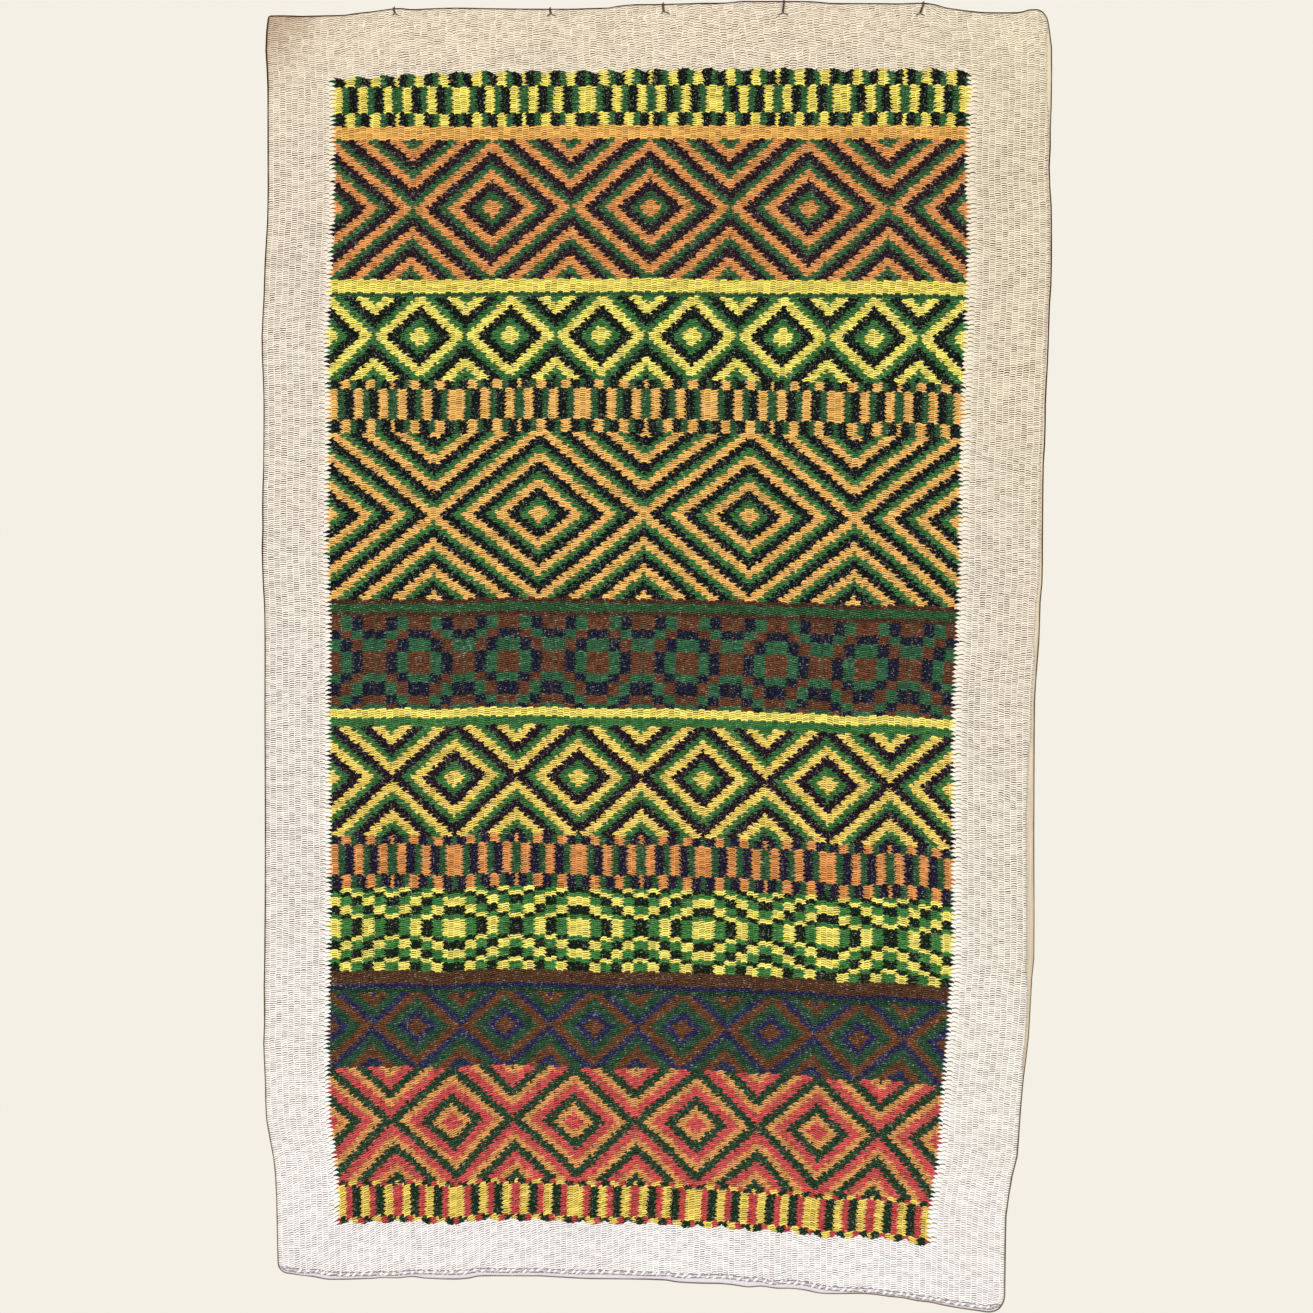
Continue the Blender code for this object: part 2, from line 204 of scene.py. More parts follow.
@dataclass
class HangingForm:
    """The outline and folds in which the cloth hangs, in millimetres."""

    thickness: float = 3.0
    top_line_left: float = -8.3
    top_line_right: float = -5.2
    scallop_fade: float = 42.0
    tie_flat: float = 24.0
    belly: float = 5.0
    hem_kick: float = 8.0
    hem_crease_z: float = -918.0
    hem_crease_length: float = 70.0
    hem_ripple: float = 2.5
    hem_ripple_pitch: float = 148.0
    hem_ripple_fade: float = 120.0
    swag: float = 2.6
    swag_fade: float = 95.0
    left: tuple[EdgeRow, ...] = rows_of(
        (0, -309.2), (-10, -310.4), (-24, -311.4), (-38, -311.3), (-60, -309.6), (-107, -309.3),
        (-170, -309.5), (-202, -311.3), (-234, -312.4), (-265, -314), (-290, -313.2),
        (-313, -312.4), (-376, -312.6), (-392, -313.4), (-410, -312.8), (-423, -313.5),
        (-455, -312.8), (-480, -311.5), (-566, -311.5), (-676, -311.3), (-755, -311.9),
        (-780, -312.4), (-803, -312), (-818, -312.8), (-850, -311.5), (-882, -310.6),
        (-913, -305.1), (-935, -302.9), (-961, -301.7), (-1010, -300.2),
    )
    right: tuple[EdgeRow, ...] = rows_of(
        (0, 306.8), (-10, 307.6), (-20, 309.2), (-26, 310.6), (-80, 310.7), (-92, 309.7),
        (-107, 309.9), (-123, 309), (-139, 308.9), (-155, 310.2), (-218, 310.1), (-234, 308.9),
        (-281, 307.2), (-313, 305.5), (-344, 305), (-360, 303.8), (-420, 303), (-455, 302.7),
        (-471, 301.2), (-502, 300.2), (-534, 297.7), (-550, 296.8), (-640, 296.4), (-757, 296.8),
        (-771, 295.1), (-787, 294.2), (-818, 292.3), (-850, 288.3), (-882, 285.5), (-897, 284.6),
        (-913, 283.3), (-929, 279.2), (-945, 276.4), (-961, 274.1), (-1040, 272.8),
    )
    top: tuple[EdgeRow, ...] = rows_of(
        (-312, -7), (-300, -7.5), (-290, -8.2), (-281, -8.8), (-256, -8.8), (-248, -8.5),
        (-238, -7), (-227, -5.8), (-216, -4.2), (-206, -3.2), (-195, -4), (-182, -3.5),
        (-162, -3), (-125, -3.5), (-42, -3.5), (-33, -2.1), (-18, -0.3), (0, 0), (32, 0.7),
        (50, 0.7), (57, 1.2), (66, 2.2), (118, 2.2), (138, 0.4), (188, 0.4), (209, 1),
        (219, -0.4), (226, -2.5), (236, -4.1), (248, -5.6), (258, -6.4), (282, -6.4),
        (288, -5.5), (292, -4.2), (300, -3.6), (312, -3.6),
    )
    bottom: tuple[EdgeRow, ...] = rows_of(
        (-303, -1001.4), (-291, -1002), (-285, -1002.8), (-272, -1004.3), (-266, -1005.4),
        (-260, -1006.3), (-228, -1006), (-217, -1005.4), (-206, -1005.8), (-195, -1004.9),
        (-184, -1006.2), (-162, -1006.8), (-151, -1006), (-141, -1004), (-96, -1003.7),
        (-84, -1004.4), (-62, -1006), (-51, -1006.5), (4, -1007.2), (15, -1008.7), (37, -1009.6),
        (48, -1009.8), (59, -1011), (70, -1012.7), (81, -1012.3), (92, -1014), (104, -1014.3),
        (115, -1015.6), (126, -1017.8), (138, -1018.2), (159, -1017.7), (170, -1018.3),
        (181, -1019.8), (192, -1020.9), (203, -1023.2), (214, -1024.7), (225, -1027.3),
        (236, -1029.4), (258, -1032.8), (276, -1035.5),
    )
    corners: tuple[Corner, ...] = (
        Corner(Side.LEFT, True, 2.2),
        Corner(Side.RIGHT, True, 9.0),
        Corner(Side.LEFT, False, 8.0),
        Corner(Side.RIGHT, False, 16.0),
    )
    folds: tuple[Fold, ...] = (
        Fold(-262, -300, 55, 210, 3.0),
        Fold(-140, -230, 50, 250, -3.5),
        Fold(-28, -260, 48, 240, 4.0),
        Fold(70, -330, 50, 230, -3.5),
        Fold(165, -270, 46, 230, 4.0),
        Fold(250, -420, 45, 200, -3.0),
        Fold(-190, -700, 60, 190, -3.0),
        Fold(-60, -720, 60, 200, 3.5),
        Fold(90, -740, 60, 190, -3.5),
        Fold(205, -700, 55, 190, 3.5),
        Fold(-291, -147, 24, 30, -2.5),
        Fold(297, -80, 26, 22, -3.0),
        Fold(300, -108, 22, 18, 1.5),
        Fold(293, -137, 26, 22, -3.0),
        Fold(-285, -905, 38, 28, -5.0),
        Fold(262, -930, 42, 26, -4.5),
    )
    curls: tuple[Curl, ...] = (
        Curl(Side.LEFT, -305, 75, 22, 4.0),
        Curl(Side.LEFT, -560, 120, 20, 2.0),
        Curl(Side.RIGHT, -62, 55, 20, 3.0),
        Curl(Side.RIGHT, -755, 95, 22, 5.0),
    )
    corner_curls: tuple[Curl, ...] = (
        Curl(Side.LEFT, 0, 0, 62, 13.0),
        Curl(Side.RIGHT, 0, 0, 34, 4.0),
    )

    def across_at(self, share: float, z: float) -> float:
        """Return the place across of a warp thread, given as a share of the width."""
        left = read_edge(self.left, z)
        return left + share * (read_edge(self.right, z) - left)

    def top_line(self, share: float) -> float:
        """Return the height of the straight line under the top edge's scallops."""
        return self.top_line_left + share * (self.top_line_right - self.top_line_left)

    def straight_place(self, share: float, down: float) -> tuple[float, float]:
        """Place a cloth point before its corner is rounded.

        Args:
            share: Share of the width, from the left.
            down: Share of the height, from the top.

        Returns:
            Place across and height.
        """
        line = self.top_line(share)
        top = read_edge(self.top, self.across_at(share, line))
        hem = read_edge(self.bottom, self.across_at(share, self.bottom[-1].reach))
        length = line - hem
        scallop = (top - line) * math.exp(-((down * length / self.scallop_fade) ** 2))
        z = line - down * length + scallop
        return self.across_at(share, z), z

    @staticmethod
    def corner_shift(across: float, along: float, radius: float) -> tuple[float, float]:
        """Return how far a point moves in at a rounded corner.

        Args:
            across: Distance of the point from the side edge.
            along: Distance of the point from the end edge.
            radius: Radius of the corner.

        Returns:
            Shift from the side and shift from the end.
        """
        if across >= radius or along >= radius:
            return 0.0, 0.0
        inner = min(across, along)
        arc = radius - inner
        angle = math.radians(45) * (1.0 - (max(across, along) - inner) / arc)
        near = radius - arc * math.cos(angle)
        far = radius - arc * math.sin(angle)
        if across < along:
            return near - across, far - along
        return far - across, near - along

    def place(self, share: float, down: float) -> tuple[float, float]:
        """Return the place across and height of a cloth point.

        Args:
            share: Share of the width, from the left.
            down: Share of the height, from the top.

        Returns:
            Place across and height, in millimetres.
        """
        x, z = self.straight_place(share, down)
        width = self.across_at(1.0, z) - self.across_at(0.0, z)
        height = self.straight_place(share, 0.0)[1] - self.straight_place(share, 1.0)[1]
        for corner in self.corners:
            on_left = corner.side is Side.LEFT
            from_side = (share if on_left else 1.0 - share) * width
            from_end = (down if corner.at_top else 1.0 - down) * height
            in_x, in_z = self.corner_shift(from_side, from_end, corner.radius)
            x += in_x if on_left else -in_x
            z += -in_z if corner.at_top else in_z
        return x, z

    def rim_z(self, x: float) -> float:
        """Return the height of the top edge at a place across."""
        return read_edge(self.top, x)

    def to_edges(self, x: float, z: float) -> dict[Side, float]:
        """Return the distance of a point from each side edge.

        Args:
            x: Place across, in millimetres.
            z: Height, in millimetres.

        Returns:
            Distance from each side.
        """
        return {
            Side.LEFT: max(0.0, x - read_edge(self.left, z)),
            Side.RIGHT: max(0.0, read_edge(self.right, z) - x),
        }

    def flatness(self, x: float, z: float) -> float:
        """Return the share of the relief that is left near the ties.

        Args:
            x: Place across, in millimetres.
            z: Height, in millimetres.

        Returns:
            0 at a tie and 1 away from it.
        """
        left = 1.0
        for tie in TIES:
            away = math.hypot(x - tie.rim_x, z - self.rim_z(tie.rim_x)) / self.tie_flat
            left *= 1.0 - math.exp(-(away**4))
        return left

    def sag(self, x: float, z: float) -> float:
        """Return the forward sag of the top edge between two ties.

        Args:
            x: Place across, in millimetres.
            z: Height, in millimetres.

        Returns:
            Sag in millimetres, forward.
        """
        for low, high in zip(TIES, TIES[1:]):
            if low.rim_x < x < high.rim_x:
                turn = math.pi * (x - low.rim_x) / (high.rim_x - low.rim_x)
                return self.swag * math.sin(turn) ** 2 * math.exp(z / self.swag_fade)
        return 0.0

    def curl_back(self, x: float, z: float) -> float:
        """Return how far a rolled edge or corner lies back.

        Args:
            x: Place across, in millimetres.
            z: Height, in millimetres.

        Returns:
            Distance back, in millimetres.
        """
        back = 0.0
        to_edge = self.to_edges(x, z)
        for curl in self.curls:
            near = max(0.0, 1.0 - to_edge[curl.side] / curl.reach) ** 2
            back += curl.back * near * math.exp(-(((z - curl.z) / curl.half_length) ** 2))
        for curl in self.corner_curls:
            away = to_edge[curl.side] + max(0.0, self.top_line_left - z)
            back += curl.back * max(0.0, 1.0 - away / curl.reach) ** 2
        return back

    def depth(self, x: float, z: float) -> float:
        """Return the depth of the middle of the cloth, with +Y behind the face.

        Args:
            x: Place across, in millimetres.
            z: Height, in millimetres.

        Returns:
            Depth in millimetres.
        """
        forward = self.belly * math.sin(math.pi * ease(z / self.hem_crease_z))
        for fold in self.folds:
            wide = (x - fold.x) / fold.half_width
            tall = (z - fold.z) / fold.half_height
            forward += fold.forward * math.exp(-(wide**2) - tall**2)
        forward += self.hem_kick * ease((self.hem_crease_z - z) / self.hem_crease_length)
        ripple = math.sin(2.0 * math.pi * x / self.hem_ripple_pitch)
        hem = read_edge(self.bottom, x)
        forward += self.hem_ripple * ripple * math.exp((hem - z) / self.hem_ripple_fade)
        forward += self.sag(x, z)
        return (self.curl_back(x, z) - forward) * self.flatness(x, z)

    def point(self, share: float, down: float) -> Vector:
        """Return a point of the cloth's middle, in metres."""
        x, z = self.place(share, down)
        return Vector((x, self.depth(x, z), z)) * MM


FORM = HangingForm()


def linear(code: str) -> Colour:
    """Turn a screen colour into the shader's own scale.

    Args:
        code: Six hexadecimal digits.

    Returns:
        Red, green, blue and alpha.
    """
    parts = [int(code[place:place + 2], 16) / 255 for place in (0, 2, 4)]
    scaled = [p / 12.92 if p <= 0.04045 else ((p + 0.055) / 1.055) ** 2.4 for p in parts]
    return (*scaled, 1.0)


class Sketch:
    """Short way to write a material's nodes as sums."""

    def __init__(self, name: str) -> None:
        """Start a new material.

        Args:
            name: Name of the material.
        """
        self.material = bpy.data.materials.new(name)
        self.material.use_nodes = True
        self.tree = self.material.node_tree
        self.shader = self.tree.nodes["Principled BSDF"]

    def feed(self, socket: Socket, value: Value) -> None:
        """Set or link an input.

        Args:
            socket: Input socket.
            value: Output socket, number or colour.
        """
        if isinstance(value, bpy.types.NodeSocket):
            self.tree.links.new(value, socket)
        else:
            socket.default_value = value

    def math(self, kind: str, first: Value, second: Value = 0.0, third: Value = 0.0) -> Socket:
        """Return the output of a Math node.

        Args:
            kind: Operation of the node.
            first: First value.
            second: Second value.
            third: Third value.

        Returns:
            Output socket.
        """
        node = self.tree.nodes.new("ShaderNodeMath")
        node.operation = kind
        for socket, value in zip(node.inputs, (first, second, third)):
            self.feed(socket, value)
        return node.outputs[0]

    def plus(self, first: Value, second: Value) -> Socket:
        """Return the sum of two values."""
        return self.math("ADD", first, second)

    def minus(self, first: Value, second: Value) -> Socket:
        """Return the first value less the second."""
        return self.math("SUBTRACT", first, second)

    def rest_of(self, value: Value) -> Socket:
        """Return 1 less a value."""
        return self.math("SUBTRACT", 1.0, value)

    def times(self, first: Value, *others: Value) -> Socket:
        """Return the product of two or more values.

        Args:
            first: First value.
            others: Values that it is multiplied by.

        Returns:
            Output socket.
        """
        for other in others:
            first = self.math("MULTIPLY", first, other)
        return first

    def scaled(self, value: Value, factor: Value, offset: Value) -> Socket:
        """Return a value times a factor, with an offset added."""
        return self.math("MULTIPLY_ADD", value, factor, offset)

    def toward(self, share: Value, low: Value, high: Value) -> Socket:
        """Return a value that goes from a low one to a high one."""
        return self.scaled(self.minus(high, low), share, low)

    def least(self, first: Value, second: Value) -> Socket:
        """Return the smaller of two values."""
        return self.math("MINIMUM", first, second)

    def most(self, first: Value, second: Value) -> Socket:
        """Return the larger of two values."""
        return self.math("MAXIMUM", first, second)

    def join(self, x: Value, y: Value, z: Value) -> Socket:
        """Return a vector or colour made of three values.

        Args:
            x: First value.
            y: Second value.
            z: Third value.

        Returns:
            Output socket.
        """
        node = self.tree.nodes.new("ShaderNodeCombineXYZ")
        for socket, value in zip(node.inputs, (x, y, z)):
            self.feed(socket, value)
        return node.outputs[0]

    def parts(self, vector: Socket) -> tuple[Socket, ...]:
        """Return the three values of a vector.

        Args:
            vector: Vector or colour.

        Returns:
            One socket for each value.
        """
        node = self.tree.nodes.new("ShaderNodeSeparateXYZ")
        self.feed(node.inputs[0], vector)
        return tuple(node.outputs)

    def blend(self, share: Value, low: Value, high: Value, mode: str = "MIX") -> Socket:
        """Mix two colours.

        Args:
            share: Share of the second colour.
            low: First colour.
            high: Second colour.
            mode: How they mix.

        Returns:
            Output socket.
        """
        node = self.tree.nodes.new("ShaderNodeMix")
        node.data_type = "RGBA"
        node.blend_type = mode
        self.feed(node.inputs["Factor"], share)
        self.feed(node.inputs[6], low)
        self.feed(node.inputs[7], high)
        return node.outputs[2]

    def between(self, value: Value, low: Value, high: Value) -> Socket:
        """Return the smooth step of a value between two limits.

        Args:
            value: Value to judge.
            low: Limit at which the step is 0.
            high: Limit at which it is 1.

        Returns:
            Output socket, from 0 to 1.
        """
        node = self.tree.nodes.new("ShaderNodeMapRange")
        node.interpolation_type = "SMOOTHSTEP"
        for socket, number in zip(node.inputs, (value, low, high, 0.0, 1.0)):
            self.feed(socket, number)
        return node.outputs[0]

    def chance(self, vector: Socket) -> Socket:
        """Return a random value from 0 to 1 for each whole place of a vector.

        Args:
            vector: Vector of whole numbers.

        Returns:
            Output socket.
        """
        node = self.tree.nodes.new("ShaderNodeTexWhiteNoise")
        node.noise_dimensions = "3D"
        self.feed(node.inputs["Vector"], vector)
        return node.outputs["Value"]

    def cloud(self, vector: Socket, scale: float, detail: float = 2.0) -> Socket:
        """Return soft noise.

        Args:
            vector: Coordinates.
            scale: Number of its swells in one unit of the coordinates.
            detail: Number of its finer layers.

        Returns:
            Output socket, about 0.5 on average.
        """
        node = self.tree.nodes.new("ShaderNodeTexNoise")
        self.feed(node.inputs["Vector"], vector)
        node.inputs["Scale"].default_value = scale
        node.inputs["Detail"].default_value = detail
        return node.outputs["Fac"]

    def drift(self, vector: Socket, scale: float, size: Value) -> Socket:
        """Return soft noise about 0.

        Args:
            vector: Coordinates.
            scale: Number of its swells in one unit of the coordinates.
            size: Factor of the noise.

        Returns:
            Output socket, about 0 on average.
        """
        return self.times(self.minus(self.cloud(vector, scale), 0.5), size)

    def ramp(self, place: Value, stops: Iterable[tuple[float, Colour]],
             kind: str = "CONSTANT") -> Socket:
        """Return a colour that changes in steps, or in straight lines.

        Args:
            place: Value from 0 to 1.
            stops: Place of each colour, and the colour.
            kind: How the ramp goes from one stop to the next.

        Returns:
            Colour socket.
        """
        node = self.tree.nodes.new("ShaderNodeValToRGB")
        node.color_ramp.interpolation = kind
        elements = node.color_ramp.elements
        for index, (start, colour) in enumerate(stops):
            stop = elements[index] if index < len(elements) else elements.new(start)
            stop.position = start
            stop.color = colour
        self.feed(node.inputs[0], place)
        return node.outputs[0]

    def object_place(self) -> Socket:
        """Return the object coordinates."""
        return self.tree.nodes.new("ShaderNodeTexCoord").outputs["Object"]

    def woven_place(self) -> tuple[Socket, Socket]:
        """Return the shares across and down from the piece's own map.

        Returns:
            Share of the width and share of the height.
        """
        node = self.tree.nodes.new("ShaderNodeUVMap")
        node.uv_map = WEAVE_MAP
        share, down, _ = self.parts(node.outputs[0])
        return share, down

    def shade(self, colour: Value, *tones: Value) -> Socket:
        """Return a colour made darker or lighter by one tone, or by three for its parts."""
        tones = tones if len(tones) > 1 else tones * 3
        return self.blend(1.0, colour, self.join(*tones), "MULTIPLY")

    def finish(self, colour: Socket, roughness: float, height: Socket,
               distance: float) -> bpy.types.Material:
        """Feed the shader.

        Args:
            colour: Base colour.
            roughness: Roughness of the surface.
            height: Relief from 0 to 1.
            distance: Height of 1, in metres.

        Returns:
            The material.
        """
        node = self.tree.nodes.new("ShaderNodeBump")
        node.inputs["Distance"].default_value = distance
        self.feed(node.inputs["Height"], height)
        self.tree.links.new(node.outputs[0], self.shader.inputs["Normal"])
        self.feed(self.shader.inputs["Base Color"], colour)
        self.shader.inputs["Roughness"].default_value = roughness
        return self.material


@dataclass(frozen=True)
class EdgeWidths:
    """Width of a finished edge along the cloth, straight between its rows.

    Each row is a share of the edge's length and the width there in millimetres.
    """

    rows: tuple[tuple[float, float], ...]
    unit: float = 8.0

    def at(self, place: float) -> float:
        """Return the width at a share of the edge's length.

        Args:
            place: Share of the edge's length.

        Returns:
            Width in millimetres.
        """
        ends = [(0.0, self.rows[0][1]), *self.rows, (1.0, self.rows[-1][1])]
        for (start, low), (end, high) in zip(ends, ends[1:]):
            if place <= end:
                return low + (high - low) * (place - start) / (end - start)
        return ends[-1][1]

    def socket(self, sketch: Sketch, place: Socket) -> Socket:
        """Return the width at a share of the edge's length, in a material.

        Args:
            sketch: Material being made.
            place: Share of the edge's length.

        Returns:
            Width socket, in millimetres.
        """
        shares = [(start, width / self.unit) for start, width in self.rows]
        stops = [(start, (value, value, value, 1.0)) for start, value in shares]
        return sketch.times(sketch.ramp(place, stops, "LINEAR"), self.unit)


HEM = EdgeWidths((
    (0.015, 2.4), (0.036, 2.4), (0.056, 4.2), (0.09, 3.3), (0.153, 2.4), (0.183, 2.8),
    (0.208, 4.2), (0.26, 4.5), (0.304, 3.3), (0.386, 3.7), (0.44, 4.7), (0.51, 3.6),
    (0.579, 4.9), (0.655, 5.1), (0.675, 2.8), (0.689, 4.2), (0.737, 4.5), (0.785, 2.2),
    (0.813, 1.9), (0.889, 2.0), (0.944, 2.8), (0.978, 2.6),
))
SELVEDGE = EdgeWidths((
    (0.012, 1.0), (0.023, 4.6), (0.068, 4.8), (0.079, 2.4), (0.207, 1.9), (0.328, 3.0),
    (0.405, 2.4), (0.454, 3.8), (0.487, 5.0), (0.497, 2.9), (0.56, 3.6), (0.569, 5.2),
    (0.618, 7.0), (0.735, 7.0), (0.748, 4.2), (0.806, 3.2), (0.82, 1.0),
))


@dataclass(frozen=True)
class PanelDesign:
    """Banded panel of bars, broken bars and lozenges, counted in threads."""

    first_warp: float = 10.7
    last_warp: float = 112.5
    first_row: float = 27.0
    last_row: float = 553.0
    corner_drop: float = 2.2
    corner_reach: tuple[float, float] = (0.09, 0.3)
    bar_warps: float = 4.0
    cycle_warps: float = 5.4
    stripe_rows: float = 8.0
    steps_in_cycle: int = 3
    block_rows: float = 12.0
    block_shift: float = 0.5
    smooth_step: float = 0.01
    turn_start: float = 0.02
    end_keep: float = 0.003
    line_share: float = 0.35
    middle_share: float = 0.62
    bands: tuple[Band, ...] = (
        Band(24, Motif.BROKEN_BARS, 5, "f0dd66", "2f5f35", "0f1615"),
        Band(6, Motif.STRIPES, 5, "eab05a", "2b4f31", "0f1615"),
        Band(62, Motif.LOZENGES, 4, "dd9352", "2f5f38", "271722"),
        Band(8, Motif.STRIPES, 5, "f0dd66", "2b5533", "0f1615"),
        Band(38, Motif.LOZENGES, 7, "f2e16c", "37703a", "101815"),
        Band(24, Motif.BROKEN_BARS, 5, "edb562", "2b5533", "111818"),
        Band(76, Motif.LOZENGES, 3, "edb562", "37703a", "11161b"),
        Band(8, Motif.STRIPES, 5, "2b5533", "4a2c20", "141728"),
        Band(40, Motif.STEPPED, 7, "623a26", "2f6040", "181b30"),
        Band(8, Motif.STRIPES, 5, "f2e16c", "37703a", "101815"),
        Band(50, Motif.LOZENGES, 5, "f0d066", "37703a", "201320"),
        Band(24, Motif.BROKEN_BARS, 5, "dd9352", "2b5533", "1d172f"),
        Band(38, Motif.STEPPED, 5, "f3e470", "3c7a3c", "142014"),
        Band(8, Motif.STRIPES, 5, "523422", "22244a", "1d3c28"),
        Band(36, Motif.LOZENGES, 7, "663d24", "272a52", "264a33"),
        Band(50, Motif.LOZENGES, 5, "cb5050", "d99a58", "23402b"),
        Band(22, Motif.BROKEN_BARS, 5, "ecd062", "c4484a", "193020"),
    )

    def rows_high(self) -> float:
        """Return the panel's height in weft rows."""
        return self.last_row - self.first_row

    def band_rows(self, band: Band) -> float:
        """Return a band's height in weft rows."""
        return band.height / sum(item.height for item in self.bands) * self.rows_high()

    def starts(self) -> list[float]:
        """Return the share of the panel's height at which each band starts.

        Returns:
            One share for each band, from the top.
        """
        places = []
        run = 0.0
        for band in self.bands:
            places.append(run / self.rows_high())
            run += self.band_rows(band)
        return places

    def centre_of(self, band: Band, start: float) -> float:
        """Return the share down the panel from which a band's figures grow."""
        return start + 0.5 * self.band_rows(band) / self.rows_high()

    def step_of(self, band: Band) -> float:
        """Return the size of a figure's steps in cycles, small for a straight side."""
        return 1.0 / self.steps_in_cycle if band.motif is Motif.STEPPED else self.smooth_step

    def half_figure(self, band: Band) -> float:
        """Return half the width of a band's figure, in warps."""
        return (self.last_warp - self.first_warp) / band.figures / 2.0

    def counts_of(self, band: Band) -> tuple[float, float, float]:
        """Return how fast a band's yarns change.

        Args:
            band: Band of the panel.

        Returns:
            Cycles for each warp across, for each row down, and for each block of rows.
        """
        across = 1.0 / self.cycle_warps
        if band.motif is Motif.STRIPES:
            return 0.0, 1.0 / self.stripe_rows, 0.0
        if band.motif is Motif.BROKEN_BARS:
            return 1.0 / self.bar_warps, 0.0, self.block_shift
        return across, 2.0 * self.half_figure(band) * across / self.band_rows(band), 0.0


@dataclass(frozen=True)
class Threads:
    """Where a shaded point lies in the weave: its places, chances, relief and painted shade
    between beads.
    """

    share: Socket
    down: Socket
    place: Socket
    across: Socket
    rows: Socket
    luck: Socket
    shade_luck: Socket
    pair_luck: Socket
    bead: Socket
    gap: Socket

    def pair_turn(self, sketch: Sketch) -> Socket:
        """Return a value that runs from 0 to 1 and back over each pair of rows."""
        return sketch.math("PINGPONG", self.rows, 1.0)


@dataclass(frozen=True)
class WeaveGrain:
    """Evenness of the weave: sway of the ribs, lean of the rows, form of the beads and of the
    painted shade between them.

    Sways count warps, and leans, slumps and the brick offset count rows. A scale is
    the number of swells in a metre, and a reach is two shares of the cloth or bead
    between which something fades in.
    """

    loose_top: float = 0.1
    sway_scale: float = 130.0
    sway: float = 0.45
    top_sway: float = 1.3
    lean_scale: float = 60.0
    lean_spread: float = 1.3
    left_lean: float = 0.1
    right_lean: float = 0.0
    low_lean: float = 0.36
    low_reach: tuple[float, float] = (0.72, 0.92)
    left_reach: tuple[float, float] = (0.2, 0.85)
    slump_scale: float = 40.0
    slump: float = 1.4
    wander_scale: float = 260.0
    wander: float = 0.6
    arch: float = 0.25
    # Shape and spread of the painted shade in the dark gaps between the beads.
    dash_ends: tuple[float, float] = (0.15, 0.7)
    dash_height: tuple[float, float] = (0.2, 0.95)
    faint_dash: float = 0.6
    dash_spread: float = 1.2
    pair_columns: float = 5.0
    pair_rows: float = 2.0
    brick: float = 0.5
    luck_seed: float = 3.0
    shade_seed: float = 11.0
    pair_seed: float = 7.0

    def threads(self, sketch: Sketch) -> Threads:
        """Return where a shaded point lies in the weave.

        Args:
            sketch: Material being made.

        Returns:
            The point's places, chances, relief and painted shade between beads.
        """
        share, down = sketch.woven_place()
        place = sketch.object_place()
        at_top = sketch.rest_of(sketch.between(down, 0.0, self.loose_top))
        loose = sketch.scaled(at_top, self.top_sway, self.sway)
        across = sketch.scaled(
            share, float(WARPS), sketch.drift(place, self.sway_scale, loose))
        column = sketch.math("FLOOR", across)
        lean = sketch.scaled(sketch.math("FRACT", across), 2.0, -1.0)
        lean_squared = sketch.times(lean, lean)
        round_across = sketch.rest_of(sketch.times(lean_squared, lean_squared))

        slope = sketch.plus(
            sketch.drift(place, self.lean_scale, self.lean_spread),
            sketch.scaled(share, self.right_lean - self.left_lean, self.left_lean))
        low_left = sketch.times(
            sketch.between(down, *self.low_reach),
            sketch.rest_of(sketch.between(share, *self.left_reach)))
        slope = sketch.scaled(low_left, self.low_lean, slope)
        brick = sketch.times(sketch.math("MODULO", column, 2.0), self.brick)
        rows = sketch.scaled(down, float(WEFT_ROWS), brick)
        rows = sketch.plus(rows, sketch.drift(place, self.slump_scale, self.slump))
        rows = sketch.plus(rows, sketch.drift(place, self.wander_scale, self.wander))
        rows = sketch.scaled(slope, lean, rows)
        rows = sketch.scaled(lean_squared, -self.arch, rows)
        row = sketch.math("FLOOR", rows)
        in_row = sketch.scaled(sketch.math("FRACT", rows), 2.0, -1.0)
        round_along = sketch.rest_of(sketch.times(in_row, in_row))

        luck = sketch.chance(sketch.join(column, row, self.luck_seed))
        bead = sketch.times(round_across, sketch.math("SQRT", round_along))
        # Painted shade: dark marks in the gaps between the beads, where shadow falls.
        gap = sketch.times(
            sketch.rest_of(sketch.between(round_along, *self.dash_height)),
            sketch.between(round_across, *self.dash_ends),
            sketch.scaled(sketch.times(luck, luck), self.dash_spread, self.faint_dash))
        pair = sketch.join(sketch.math("SNAP", column, self.pair_columns),
                           sketch.math("SNAP", row, self.pair_rows), self.pair_seed)
        return Threads(
            share=share, down=down, place=place, across=across, rows=rows, luck=luck,
            shade_luck=sketch.chance(sketch.join(column, row, self.shade_seed)),
            pair_luck=sketch.chance(pair), bead=bead, gap=sketch.least(gap, 1.0))


